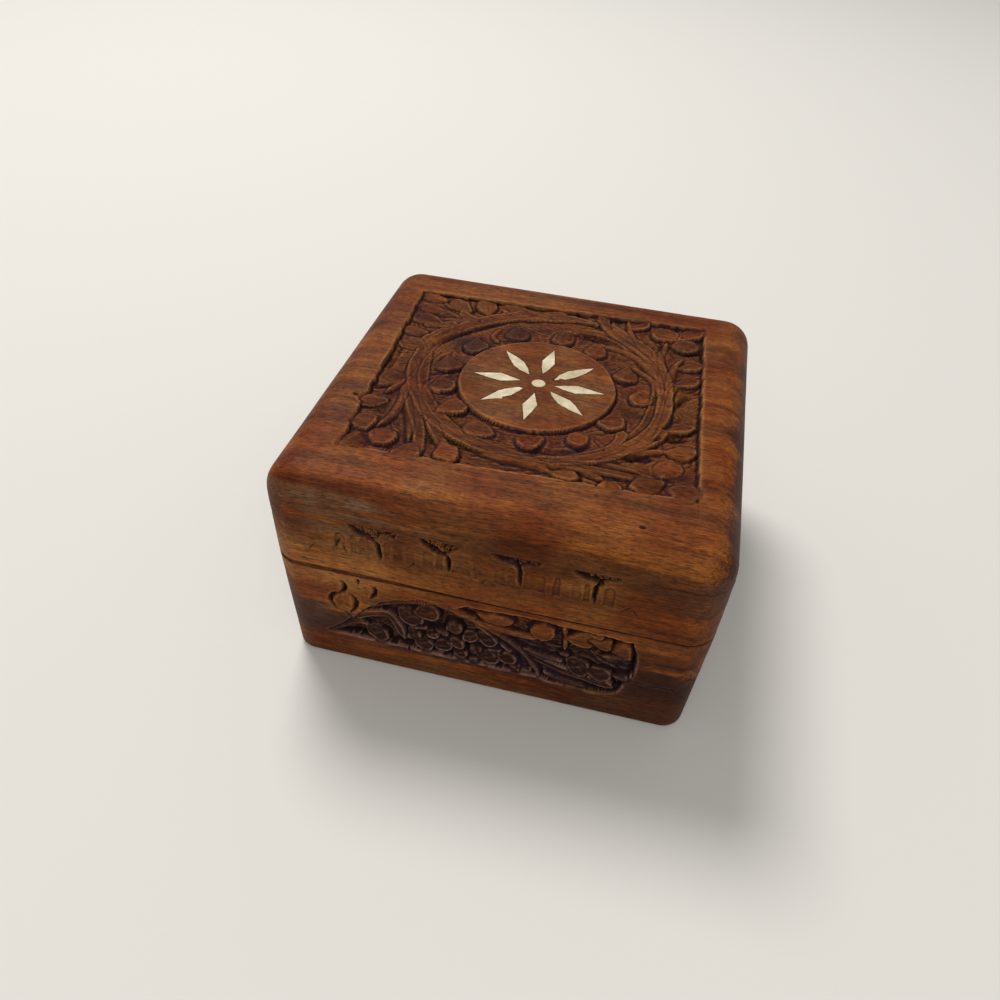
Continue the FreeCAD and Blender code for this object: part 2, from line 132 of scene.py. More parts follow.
def flowing(points, steps=8):
    """Smooth line through given points, as an array of x and y."""
    p = np.array([points[0], *points, points[-1]], float)
    t = np.linspace(0.0, 1.0, steps, endpoint=False)[:, None]
    runs = []
    for a, b, c, d in zip(p, p[1:], p[2:], p[3:]):
        curve = 2 * b + (c - a) * t + (2 * a - 5 * b + 4 * c - d) * t ** 2
        runs.append((curve + (3 * b - a - 3 * c + d) * t ** 3) / 2)
    return np.vstack([*runs, p[-1:]])


def along(x, y, line):
    """Distance from a line, share of the way along it, and side of it, at each place."""
    steps = np.diff(line, axis=0)
    lengths = np.maximum(np.hypot(*steps.T), 1e-9)
    starts = np.concatenate([[0.0], np.cumsum(lengths)])
    nearest = np.full(x.shape, 1e9)
    share = np.zeros(x.shape)
    side = np.zeros(x.shape)
    for (px, py), (dx, dy), length, start in zip(line, steps, lengths, starts):
        ux, uy = dx / length, dy / length
        ahead = np.clip((x - px) * ux + (y - py) * uy, 0.0, length)
        across = (y - py) * ux - (x - px) * uy
        distance = np.hypot(x - px - ahead * ux, y - py - ahead * uy)
        closer = distance < nearest
        nearest = np.where(closer, distance, nearest)
        share = np.where(closer, (start + ahead) / starts[-1], share)
        side = np.where(closer, np.sign(across), side)
    return nearest, share, side


class Relief:
    """Carved face on a grid, with the dark stain and painted shade in its hollows and the wear and
    painted highlights on its ridges.
    """

    def __init__(self, x, y, seed):
        self.x, self.y = x, y
        self.seed = seed
        self.height = 0.035 * uneven(x, y, 9.0, seed)
        self.glue_and_seam_shade = np.zeros(x.shape)
        self.raw = np.zeros(x.shape)
        self.tone = np.zeros(x.shape)

    def nearby(self, low, high, margin):
        """Part of the grid round a form."""
        return ((self.x > low[0] - margin) & (self.x < high[0] + margin)
                & (self.y > low[1] - margin) & (self.y < high[1] + margin))

    def petal(self, petal):
        """Petal standing on the ground, with its top left as the gouge shaped it."""
        reach = max(petal.length, petal.width)
        where = self.nearby((petal.x, petal.y), (petal.x, petal.y), reach + 2.6)
        dx, dy = self.x[where] - petal.x, self.y[where] - petal.y
        turn = math.radians(petal.angle)
        u = (dx * math.cos(turn) + dy * math.sin(turn)) / petal.length
        v = (dy * math.cos(turn) - dx * math.sin(turn)) / petal.width
        seed = self.seed + int(abs(petal.x * 7 + petal.y * 3))
        ragged = 1.0 + 0.12 * uneven(dx, dy, 2.0, seed) + 0.04 * uneven(dx, dy, 0.9, seed + 1)
        round_leaf = petal.form in ("dome", "cup", "dish")
        full = 2.1 if round_leaf else 1.55
        wide = 1.0 + (0.25 if round_leaf else 0.45) * np.clip(u, -1.0, 1.0)
        wide -= 0.2 * np.clip(u, 0.0, 1.0) ** 2
        across = v / wide
        away = (np.abs(u / 1.06) ** full + np.abs(across) ** 2.0) ** (1 / full) * ragged
        inside = (1.0 - away) * min(petal.length, petal.width)
        behind = smooth(-0.15, 0.85, (0.9 * dy - 0.45 * dx) / np.maximum(np.hypot(dx, dy), 0.6))
        top = {
            "flat": 0.24 * math.copysign(1.0, math.sin(seed)) * across - 0.15 * (1.0 - away ** 2),
            "dome": 0.1 - 0.4 * away ** 2,
            "dish": -0.6 * smooth(0.15, 1.5, inside) * (0.55 + 0.45 * behind),
            "fold": 0.08 - 0.8 * np.abs(across + 0.1) ** 1.1 + 0.1 * u,
            "scoop": -0.7 * smooth(-0.8, 0.2, across) * smooth(0.1, 0.7, inside),
            "cup": -0.7 * smooth(0.15, 0.9, inside) * (0.5 + 0.5 * behind),
        }[petal.form]
        shape = petal.level + 0.08 * u + top
        shape += 0.03 * np.sin(across * 11.0 + u * 3.0 + seed) * smooth(0.15, 0.5, inside)
        shape += 0.05 * uneven(dx, dy, 1.0, seed + 2)
        shape -= 0.1 * smooth(0.3, 0.0, inside) + 0.75 * behind * smooth(1.7, 0.0, inside) ** 1.5
        return Raised(where, inside, shape, 1.0 - 0.8 * behind, math.sin(2.7 * seed))

    def strand(self, strand, beads=0.0):
        """Tapering stem: a hollowed ribbon, a deep hollow or a sharp ridge, lined by the gouge."""
        line = flowing(strand.points)
        widest = max(strand.start, strand.end)
        where = self.nearby(line.min(axis=0), line.max(axis=0), widest + 2.6)
        distance, share, side = along(self.x[where], self.y[where], line)
        half = strand.start + (strand.end - strand.start) * share
        half = half * (0.3 + 0.7 * smooth(0.0, 0.12, share) * smooth(1.0, 0.88, share))
        half = half * (1.0 + 0.1 * uneven(self.x[where], self.y[where], 4.0, self.seed + 9))
        off = distance / half
        across = np.clip(side * off, -1.3, 1.3)
        steady = 0.6 + 0.4 * uneven(self.x[where], self.y[where], 5.0, self.seed + 10)
        gouged = np.exp(-((across - 0.38) / 0.13) ** 2) + np.exp(-((across + 0.36) / 0.12) ** 2)
        shape = strand.level + {
            "ribbon": -0.2 * (1.0 - across ** 2) + 0.18 * across - 0.07 * steady * gouged,
            "hollow": -0.75 * (1.0 - np.abs(across) ** 3.0) - 0.07 * steady * gouged,
            "ridge": -0.5 * np.abs(across) ** 1.15,
        }[strand.form]
        shape -= 0.35 * smooth(0.9, 1.25, off)
        shape += 0.04 * uneven(self.x[where], self.y[where], 1.5, self.seed + 10)
        if beads:
            shape += 0.16 * np.cos(share * beads * 2.0 * math.pi)
        return Raised(where, half - distance, shape)

    def sink(self, field, depth, pitch=0.95, strokes=0.5):
        """Cuts the ground away and leaves it hatched by short chisel strokes."""
        x, y = self.x, self.y
        turn = 0.25 * uneven(x, y, 11.0, self.seed + 1)
        across = y * np.cos(turn) + x * np.sin(turn) + 0.4 * uneven(x, y, 3.0, self.seed + 2)
        furrow = np.abs(np.sin(math.pi * across / pitch)) ** 0.7
        broken = smooth(-0.75, 0.1, uneven(x * 0.45, y * 1.8, 1.6, self.seed + 3))
        floor = -depth + strokes * (furrow - 0.75) * broken
        floor += 0.07 * uneven(x, y, 0.6, self.seed + 4)
        floor += 0.1 * uneven(x, y, 1.4, self.seed + 5)
        floor += 0.16 * uneven(x, y, 5.0, self.seed + 6)
        floor -= 0.2 * np.exp(-(field / 0.8) ** 2)
        self.height += (floor - self.height) * smooth(-0.08, 0.3, field)

    def kept_inside(self, field, petal):
        """Petal cut off at the edge of its field, unless the carver let it run over."""
        form = self.petal(petal)
        if petal.over:
            return form
        inside = np.minimum(form.inside, field[form.where] + 0.05)
        return form._replace(inside=inside)

    def carve(self, field, depth, stems, petals, discs=()):
        """Sinks a field round what stands in it, less deep where there is little room."""
        leaves = [self.kept_inside(field, petal) for petal in petals]
        nearest = np.full(self.x.shape, -4.0)
        for form in (*stems, *leaves, *discs):
            nearest[form.where] = np.maximum(nearest[form.where], form.inside)
        room = smooth(0.0, 2.2, -nearest)
        self.sink(field, depth * (0.66 + 0.34 * room))
        for form in stems:
            height = self.height[form.where]
            within = smooth(0.0, 0.3, field[form.where])
            joined = np.maximum(height, form.shape)
            height += (joined - height) * smooth(-0.1, 0.15, form.inside) * within
            height -= 0.24 * np.exp(-(form.inside / 0.2) ** 2) * within
            self.height[form.where] = height
        for form in leaves:
            self.lay(form)
        self.raw = smooth(-0.1, 0.4, np.maximum(field, -4.0))

    def lay(self, form, edge=0.42, groove=0.34):
        """Puts a raised form over what is there, with a fine cut round its foot."""
        height = self.height[form.where]
        height -= groove * form.steep * np.exp(-((form.inside + 0.2) / 0.3) ** 2)
        height += (form.shape - height) * smooth(-0.15, edge + 0.4 * (1.0 - form.steep), form.inside)
        self.height[form.where] = height
        self.tone[form.where] += ((form.tone - self.tone[form.where])
                                  * smooth(-0.1, 0.3, form.inside))

    def cut(self, cut, spread=1.0):
        """V-cut that thins out towards both ends."""
        line = flowing(cut.points)
        where = self.nearby(line.min(axis=0), line.max(axis=0), cut.width + 0.3)
        distance, share, _ = along(self.x[where], self.y[where], line)
        swell = np.sqrt(np.clip(4.0 * share * (1.0 - share), 0.05, 1.0)) * spread
        jag = 1.0 + 0.25 * uneven(self.x[where], self.y[where], 0.7, self.seed + 8)
        depth = cut.depth * swell * np.clip(1.0 - distance * jag / (cut.width * swell), 0, 1)
        self.height[where] -= depth

    def scribe(self, start, end, depth=0.16):
        distance, _, _ = along(self.x, self.y, np.array([start, end], float))
        self.height -= depth * np.exp(-(distance / 0.22) ** 2)

    def dent(self, x, y, radius, depth):
        self.height -= depth * np.exp(-((self.x - x) ** 2 + (self.y - y) ** 2) / radius ** 2)

    def rub(self, amount=0.03):
        """Small unevenness that tools and years of handling leave."""
        self.height += amount * uneven(self.x, self.y, 0.8, self.seed + 11)
        self.height += amount * uneven(self.x, self.y, 2.6, self.seed + 12)

    def softened(self, width):
        """The carving with everything narrower than a width in millimetres smoothed away."""
        step = abs(self.x[0, 1] - self.x[0, 0])
        soft = self.height.copy()
        for _ in range(round((width / step) ** 2)):
            padded = np.pad(soft, 1, mode="edge")
            soft = (padded[:-2, 1:-1] + padded[2:, 1:-1] + padded[1:-1, :-2]
                    + padded[1:-1, 2:]) / 4.0
        return soft

    def painted_shadow(self):
        """How steeply the carving rises behind and to the left, used as a painted shadow cast from that
        side.
        """
        step = abs(self.x[0, 1] - self.x[0, 0])
        rise = np.zeros(self.x.shape)
        for reach in range(1, 8):
            right, down = int(round(reach * 0.45)), int(round(reach * 0.9))
            rows, columns = self.x.shape
            behind = np.pad(self.height, ((0, down), (right, 0)), mode="edge")
            behind = behind[down:down + rows, :columns]
            rise = np.maximum(rise, (behind - self.height) / (reach * step))
        return rise

    def under_lips(self):
        """How far each place lies below what stands right beside it."""
        reach = 2
        rows, columns = self.x.shape
        padded = np.pad(self.height, reach, mode="edge")
        lips = self.height
        for down in range(2 * reach + 1):
            for right in range(2 * reach + 1):
                lips = np.maximum(lips, padded[down:down + rows, right:right + columns])
        return lips - self.height

    def stain_and_shade(self):
        # Darker the deeper the ground lies and in narrow hollows: partly stain, partly painted shade.
        hollow = self.softened(1.35) - self.height
        fine = self.softened(0.6) - self.height
        deep = smooth(0.25, 1.7, -self.height)
        dark = 0.12 * deep + 0.85 * np.clip(hollow, 0, 1) + 1.8 * np.clip(fine, 0, 1)
        # Painted shade below the lips that stand beside each place.
        dark += 0.7 * smooth(0.2, 0.7, self.under_lips())
        # Painted shadow, as if cast by a lamp behind and to the left.
        dark += 0.5 * smooth(0.4, 1.5, self.painted_shadow())
        # Also the glue line round the inlay and the painted shade in the seam between lid and base.
        return np.clip(np.maximum(dark, self.glue_and_seam_shade), 0.0, 1.0)

    def wear_and_highlight(self):
        # Paler ridges and lips: partly wear from handling, partly a painted highlight.
        ridge = np.clip(self.height - self.softened(0.9), 0.0, 1.0)
        return np.clip(2.4 * ridge * smooth(0.45, 0.1, self.under_lips()), 0.0, 1.0)

    def layers(self):
        """What the wood's shader is told at each point of the face."""
        return {"stain_and_shade": self.stain_and_shade(), "wear_and_highlight": self.wear_and_highlight(), "raw": self.raw, "tone": self.tone}


def inside_outline(x, y, corners):
    """Signed distance to a closed outline, positive inside."""
    ring = np.array([*corners, corners[0]], float)
    distance, _, _ = along(x, y, ring)
    winding = np.zeros(x.shape, bool)
    for (ax, ay), (bx, by) in zip(ring, ring[1:]):
        crosses = (ay > y) != (by > y)
        rise = by - ay if by != ay else 1e-9
        winding ^= crosses & (x < ax + (y - ay) / rise * (bx - ax))
    return np.where(winding, distance, -distance)


# The top: a field turned a little, with a vine that rings the medallion and throws
# branches into the four corners.

FIELD_SIZE = (78.6, 72.3)
FIELD_CENTRE = (0.2, 1.5)
FIELD_TURN = math.radians(2.3)
FIELD_DEPTH = 1.5
MEDALLION_RADIUS = 19.0

TOP_STRANDS = (
    # Outer strands of the ring, clockwise from the leaf at its head.
    Strand([(9.6, 38.6), (11.6, 34.2), (15.6, 30.0), (20.4, 26.2), (24.6, 21.8), (27.8, 16.2),
            (29.9, 9.2), (30.8, 1.4), (30.4, -5.8), (28.4, -12.4), (25.2, -17.8), (20.6, -22.6),
            (14.6, -26.2), (7.4, -28.4), (-1, -29.2)], 2.3, 1.7, -0.05),
    Strand([(12.6, 33.6), (17.4, 29.6), (22, 25.4), (26.2, 20.8), (29.4, 14.6), (31.4, 7.2),
            (32, -1), (31.4, -7.6), (29.6, -13.4)], 1.0, 1.3, -0.2, "ridge"),
    Strand([(1.0, 27.0), (6, 29.0), (10.5, 29.3), (15, 27.8), (19.4, 24.6), (23.2, 20.6),
            (26.2, 16), (28.2, 10.5), (28.8, 4), (28.2, -3), (27, -9.5), (24.6, -15.5),
            (20.6, -20.6), (15.4, -24.4), (8, -27.2)], 1.2, 1.7, -0.15, "hollow"),
    Strand([(0, -29.2), (-6, -28.4), (-12, -26.2), (-17.5, -23), (-22.5, -18.6),
            (-26.6, -12.9), (-29.4, -6.8), (-31.1, 0), (-31.2, 6.5), (-29.4, 13), (-26, 18.8),
            (-21.6, 24), (-16.6, 28.2), (-11, 31.2), (-4, 33.2), (3, 34.0), (9.5, 33.4)], 1.9, 2.0, -0.1),
    Strand([(6, -28.8), (-1, -27.8), (-8, -26.2), (-14.6, -23), (-20.2, -18.2), (-24.4, -12.6),
            (-27.4, -6.4), (-28.8, 0.5), (-29.2, 6.5)], 1.5, 1.4, -0.25),
    Strand([(-29.6, -3), (-28.9, 4), (-27.0, 11.4), (-23.2, 17.6), (-18.6, 22.4), (-13.2, 26.2),
            (-7.0, 29.2), (0, 31.2), (7, 32.0)], 1.2, 1.5, -0.55, "hollow"),
    # Wisps inside the ring.
    Strand([(13.2, 22.8), (17.4, 22.4), (21.4, 20.2), (25, 16.4), (27.8, 11.4)], 1.1, 1.3, -0.3, "ridge"),
    Strand([(21, 15.0), (24.2, 13.2), (27.2, 10), (29, 5.4)], 0.9, 1.0, -0.4, "ridge"),
    Strand([(22.4, -12.6), (22.0, -16.6), (19.6, -21.4)], 1.4, 1.0, -0.35),
    Strand([(-21.8, -1.6), (-25.2, -5.5), (-25.4, -10.4), (-22.6, -15)], 0.9, 1.2, -0.5, "ridge"),
    Strand([(-24.6, 8.4), (-26.8, 4.5), (-26.6, -1)], 1.2, 0.9, -0.5, "ridge"),
    Strand([(-14, 16.8), (-16.2, 19.4), (-15, 23.4)], 1.0, 0.9, -0.5, "ridge"),
    # Branches to the back right corner and down the right side.
    Strand([(17.6, 38.4), (18.3, 33.6), (19.8, 29.8), (22, 26), (25.4, 21.4)], 0.7, 1.3, -0.15, "ridge"),
    Strand([(28.9, 29.6), (28.0, 25), (28.1, 20.5), (29.6, 14.5)], 1.0, 1.1, -0.2, "ridge"),
    Strand([(33.4, 22.6), (31.8, 18), (31.2, 12.5), (31.6, 6)], 1.0, 1.3, -0.25, "ridge"),
    Strand([(33.0, 9.6), (32, 5.6), (31.8, 0)], 0.8, 1.0, -0.3, "ridge"),
    Strand([(32.4, -9.0), (30.6, -12.8), (27.8, -16.7), (23.6, -20.8)], 1.1, 1.4, -0.15),
    Strand([(33.2, -17), (28.4, -18.9), (24.2, -21.8), (18.6, -25.6)], 0.9, 1.3, -0.3, "ridge"),
    # Long stems along the front to the front right flower and buds.
    Strand([(28, -26.2), (21, -25.6), (14, -26.6), (7, -28.6)], 0.9, 1.2, -0.4, "ridge"),
    Strand([(28.5, -28.8), (21, -28.4), (13.5, -28.6), (6, -29.3), (-3, -29.4)], 1.1, 1.5, -0.2),
    Strand([(20.6, -31.0), (16, -29.4), (9, -29)], 1.0, 1.2, -0.35, "ridge"),
    Strand([(9.8, -31.6), (4, -30.6), (-3, -29.9), (-9, -28.4)], 1.0, 1.3, -0.25, "ridge"),
    # Branches to the front left corner.
    Strand([(-14.4, -30.5), (-17.6, -26.6), (-21, -21.4)], 1.3, 1.5, -0.2),
    Strand([(-19.6, -35.4), (-21.0, -30), (-22.6, -25), (-26, -18.4), (-29.4, -11)], 1.3, 1.7, -0.1),
    Strand([(-23.4, -30), (-24.6, -25), (-26.8, -19.6), (-29.6, -13)], 1.0, 1.2, -0.25, "ridge"),
    Strand([(-31.8, -27), (-30.0, -22), (-29.8, -16), (-30.8, -8)], 1.0, 1.3, -0.2, "ridge"),
    Strand([(-34.4, -13.6), (-33, -10), (-32, -5), (-31.8, 1)], 0.9, 1.3, -0.25, "ridge"),
    # Branches to the back left corner.
    Strand([(-34, 10), (-31.8, 13.5), (-28, 18.8)], 1.0, 1.4, -0.25),
    Strand([(-35, 19.5), (-30.8, 20.4), (-26.2, 21.6)], 1.0, 1.4, -0.2),
    Strand([(-27.6, 29), (-24.8, 26.6), (-21.6, 25)], 1.1, 1.5, -0.2),
    Strand([(-21.6, 31.6), (-19, 29.2), (-15, 28.8)], 1.0, 1.2, -0.25, "ridge"),
    Strand([(-16.6, 33), (-14, 31.6), (-9, 32)], 1.1, 1.3, -0.25, "ridge"),
)

TOP_PETALS = (
    # Leaf at the head of the ring, and the bud beside it.
    Petal(10.8, 36.2, 4.3, 2.0, 112, "dome"), Petal(20.4, 37.0, 3.6, 3.0, 55, "dish"),
    # Flower of three petals in the back right corner.
    Petal(33.5, 29.9, 3.6, 3.6, 270, "dome", -0.05), Petal(28.2, 34.0, 3.7, 3.6, 155, "dish"),
    Petal(34.6, 36.1, 4.2, 3.0, 55, "scoop", -0.03),
    # Leaves down the right side.
    Petal(35.4, 20.0, 3.9, 2.6, 30, "scoop"), Petal(34.9, 12.2, 3.8, 2.6, 35, "scoop"),
    Petal(34.6, -7.9, 4.2, 2.2, 22, "scoop"), Petal(35.8, -16.6, 3.6, 3.1, 10, "fold"),
    # Flower of three petals in the front right corner.
    Petal(37.4, -30.6, 3.9, 3.1, 345, "flat", -0.05, True), Petal(33.4, -23.6, 3.6, 3.4, 75, "fold"),
    Petal(30.0, -30.2, 4.0, 3.3, 208, "fold", -0.05),
    # Buds along the front.
    Petal(22.0, -32.8, 3.1, 2.7, 285, "scoop"), Petal(12.0, -31.7, 3.4, 2.2, 350, "dish"),
    Petal(-14.4, -31.4, 4.3, 2.8, 300, "flat", -0.05), Petal(-22.7, -33.6, 3.6, 3.2, 268),
    # Trefoil in the front left corner.
    Petal(-35.4, -26.0, 3.4, 3.2, 125), Petal(-35.4, -33.2, 3.6, 3.3, 255, "fold"),
    Petal(-29.7, -29.9, 3.5, 3.5, 335, "dome", -0.03),
    # Leaves up the left side.
    Petal(-36.3, -17.5, 3.8, 2.6, 196, "scoop", -0.22, True), Petal(-35.5, -7.4, 3.9, 3.1, 80, "dome"),
    Petal(-35.2, 9.6, 4.4, 3.0, 150, "scoop"), Petal(-36.2, 15.8, 3.7, 2.3, 170, "fold"),
    # Overlapping leaves in the back left corner.
    Petal(-26.4, 25.0, 4.4, 1.7, 178, "flat", -0.3), Petal(-30.6, 27.0, 3.7, 2.1, 158, "fold"),
    Petal(-35.0, 22.6, 4.7, 2.7, 162, "scoop"), Petal(-35.6, 28.9, 4.2, 2.4, 160, "fold", -0.3),
    Petal(-36.2, 34.4, 4.2, 2.4, 168, "fold"), Petal(-29.0, 32.6, 4.7, 2.7, 150, "scoop"),
    Petal(-21.6, 34.0, 4.3, 3.0, 118, "dome"), Petal(-10.4, 34.6, 6.8, 2.2, 166, "fold"),
    Petal(-2.4, 36.6, 3.2, 1.5, 185, "flat", -0.5),
)

# Buds between the ring and the medallion, with their tips pointing inwards.
TOP_BUDS = (
    Petal(1.8, 23.8, 3.3, 3.2, 285, "dome"), Petal(11.0, 20.2, 3.4, 3.1, 265, "dome"),
    Petal(20.1, 11.5, 4.0, 3.3, 265, "fold"), Petal(25.1, 2.5, 3.4, 2.9, 260, "scoop"),
    Petal(19.5, -9.3, 3.6, 3.2, 255, "dish"), Petal(12.7, -18.0, 3.4, 2.6, 290, "dish"),
    Petal(2.6, -22.1, 3.3, 3.0, 220, "dish"), Petal(-9.4, -21.5, 3.7, 3.1, 165, "flat"),
    Petal(-17.6, -14.8, 4.0, 3.5, 40, "flat"), Petal(-22.5, -6.5, 3.4, 3.2, 300, "flat"),
    Petal(-23.6, 3.4, 3.8, 3.5, 290, "fold"), Petal(-19.3, 13.4, 3.8, 3.2, 285, "flat"),
    Petal(-10.3, 22.3, 3.5, 3.2, 290, "dome"),
)


# Hollows gouged beside the ring and its branches, where the stain and painted shade lie purple.
TOP_HOLLOWS = (
    ((-30.2, 4.0), (-29.4, 9.6), (-26.6, 14.8), (-22.6, 19.6), (-17.6, 24.2), (-13.4, 27.2)),
    ((33.0, -1.2), (35.2, 5.0), (38.6, 8.4)), ((28.0, -15.6), (32.0, -12.8), (37.8, -10.6)),
    ((20.6, -23.6), (25.6, -22.0), (31.0, -20.4)), ((28.6, 22.0), (27.5, 26.4), (27.0, 30.4)),
    ((-1.4, -25.6), (5.6, -24.8), (12.4, -22.6), (17.0, -19.4)),
    ((2.0, 26.0), (8.0, 27.0), (14.4, 25.4)), ((-37.2, 7.2), (-37.8, 0.6), (-37.4, -4.4)),
)


def field_inside(x, y):
    dx, dy = x - FIELD_CENTRE[0], y - FIELD_CENTRE[1]
    p = dx * math.cos(FIELD_TURN) + dy * math.sin(FIELD_TURN)
    q = dy * math.cos(FIELD_TURN) - dx * math.sin(FIELD_TURN)
    inside = np.minimum(FIELD_SIZE[0] / 2 - np.abs(p), FIELD_SIZE[1] / 2 - np.abs(q))
    return inside + 0.2 * uneven(x, y, 3.0, 31)


def field_corner(side_x, side_y, past=0.0):
    """Corner of the field, or a point past it along its side edge."""
    p = side_x * FIELD_SIZE[0] / 2
    q = side_y * (FIELD_SIZE[1] / 2 + past)
    return (FIELD_CENTRE[0] + p * math.cos(FIELD_TURN) - q * math.sin(FIELD_TURN),
            FIELD_CENTRE[1] + p * math.sin(FIELD_TURN) + q * math.cos(FIELD_TURN))


def carve_top(x, y):
    relief = Relief(x, y, 20)
    stems = [relief.strand(strand) for strand in TOP_STRANDS]
    everywhere = np.ones(x.shape, bool)
    rim = MEDALLION_RADIUS + 0.35 - np.hypot(x + 0.35, y) + 0.15 * uneven(x, y, 4.0, 6)
    flat = -0.06 + 0.02 * uneven(x, y, 6.0, 5)
    medallion = Raised(everywhere, rim.ravel(), flat.ravel())
    relief.carve(field_inside(x, y), FIELD_DEPTH, stems, (*TOP_PETALS, *TOP_BUDS), (medallion,))
    for points in TOP_HOLLOWS:
        relief.cut(Cut(points, 1.25, 0.7))
    relief.raw *= smooth(0.3, -0.1, rim)
    relief.rub()
    relief.lay(medallion, 0.35, 0.4)
    relief.glue_and_seam_shade = star_glue(x, y)
    for side_x in (-1, 1):
        relief.scribe(field_corner(side_x, -1, -70.0), field_corner(side_x, -1, 5.5))
    relief.cut(Cut([(43.0, -18.2), (40.8, -18.8)], 0.35, 0.4))
    relief.cut(Cut([(26.2, 42.9), (27.8, 43.2)], 0.5, 0.35))
    relief.dent(-40.6, -16.9, 0.6, 0.6)
    relief.height = np.minimum(relief.height, 0.0)
    return relief


def star_glue(x, y):
    """Dark line of glue and dirt round each inlaid petal."""
    dark = np.zeros(x.shape)
    for angle, corners in STAR.items():
        turn = math.radians(angle)
        u = x * math.cos(turn) + y * math.sin(turn)
        v = y * math.cos(turn) - x * math.sin(turn)
        near = np.hypot(u - 10.0, v) < 8.0
        edge, _, _ = along(u[near], v[near], np.array([*corners, corners[0]], float))
        dark[near] = np.maximum(dark[near], 0.55 * np.exp(-(edge / 0.24) ** 2))
    return dark


# The front. The lid has a shallow row of chip cuts, the base an arched vine over flowers.

ROW_CUTS = (
    ((-30.4, 49.6), (-28.4, 47.4), (-25.4, 46.0), (-24.0, 44.8), (-23.7, 42.4), (-23.5, 40.0)),
    ((-14.6, 49.7), (-12.6, 47.6), (-9.6, 46.0), (-8.2, 45.2), (-8.1, 43.0), (-8.0, 40.8)),
    ((1.2, 49.5), (3.4, 48.1), (6.0, 47.7), (7.3, 46.2), (7.5, 43.6), (7.8, 40.8)),
    ((18.4, 49.1), (20.8, 48.0), (24.4, 47.0), (23.7, 45.6), (23.5, 42.8), (23.8, 40.2)),
)
ROW_FORKS = (
    ((-24.0, 46.2), (-23.2, 48.0), (-21.2, 48.4), (-19.9, 47.2)),
    ((-8.3, 45.9), (-7.4, 47.4), (-5.4, 48.6)),
    ((7.3, 46.6), (8.4, 47.8), (11.6, 48.2)),
    ((23.9, 46.6), (25.4, 48.0), (28.2, 48.6)),
)
ROW_FLUTES = ((-32.6, 1.4), (-29.6, 1.0), (-27.0, 1.4), (-21.9, 0.9), (-19.4, 1.3),
              (-16.6, 1.2), (-12.6, 1.5), (-10.0, 1.0), (-5.4, 2.2), (-1.6, 1.2),
              (3.2, 1.3), (5.8, 1.0), (10.6, 2.6), (15.4, 1.0), (19.6, 1.2), (21.8, 0.9),
              (26.6, 1.5))
ROW_CHIPS = ((-38.6, 41.0), (-15.6, 41.2), (0.5, 41.0), (31.2, 41.4))
ROW_LOW, ROW_HIGH = 39.4, 49.6


def carve_row(x, z):
    """Row of chip cuts on the lid: a forked cut, a stippled fan and shallow flutes."""
    relief = Relief(x, z, 40)
    for middle, half in ROW_FLUTES:
        off = (x - middle + 0.2 * uneven(x, z, 3.0, 43)) / half
        crest = 46.4 - 1.6 * off ** 2 - z
        scoop = np.minimum(np.minimum(z - ROW_LOW - 0.8, crest), (1.0 - np.abs(off)) * half)
        relief.height -= (0.36 + 0.14 * math.sin(middle * 5.0)) * smooth(0.0, 0.6, scoop)
    for number, (cut, fork) in enumerate(zip(ROW_CUTS, ROW_FORKS)):
        crown = inside_outline(x, z, (cut[0], cut[2], fork[0], fork[1], fork[-1],
                                      (fork[-1][0] + 1.0, 50.2), (cut[0][0] + 2.0, 50.2)))
        stipple = np.abs(uneven(x * 1.6, z, 0.62, 44 + number))
        relief.height -= smooth(-0.1, 0.4, crown) * (0.1 + 1.1 * stipple)
        relief.cut(Cut(cut[:4], 1.0, 1.5), 1.1)
        relief.cut(Cut(cut[2:], 0.65, 1.4), 1.1)
        relief.cut(Cut(fork, 0.5, 0.6))
    for px, pz in ROW_CHIPS:
        relief.cut(Cut([(px - 1.8, pz - 2.0), (px - 0.8, pz - 0.9), (px, pz)], 0.45, 0.45))
        relief.cut(Cut([(px + 2.0, pz - 2.2), (px + 1.0, pz - 1.0), (px, pz)], 0.4, 0.3))
    relief.cut(Cut([(-34.8, 39.8), (-33.4, 42.2), (-32.6, 44.4)], 0.6, 0.5))
    relief.cut(Cut([(-32.8, 42.6), (-31.6, 41.0), (-30.8, 39.4)], 0.45, 0.35))
    relief.cut(Cut([(-34.6, 39.6), (-32.0, 39.5), (-20.0, 39.2)], 0.3, 0.16))
    relief.scribe((-20.0, 39.1), (44.0, 38.4), 0.09)
    relief.scribe((-34.0, 49.3), (-30.4, 49.5), 0.16)
    relief.scribe((-22.0, 34.9), (-3.0, 38.4), 0.08)
    # Painted shade in the seam at the rail's lower edge, wider to the left.
    wide = 0.2 + 0.55 * smooth(5.0, -32.0, x)
    relief.glue_and_seam_shade = smooth(wide, 0.5 * wide, z - RAIL_LOW.z)
    relief.height -= 0.7 * smooth(wide, 0.0, z - RAIL_LOW.z) * smooth(5.0, -32.0, x)
    relief.cut(Cut([(-9.7, 38.0), (-9.4, 36.2), (-8.6, 34.8)], 0.3, 0.2))
    relief.rub(0.04)
    relief.height = np.minimum(relief.height, 0.0)
    return relief


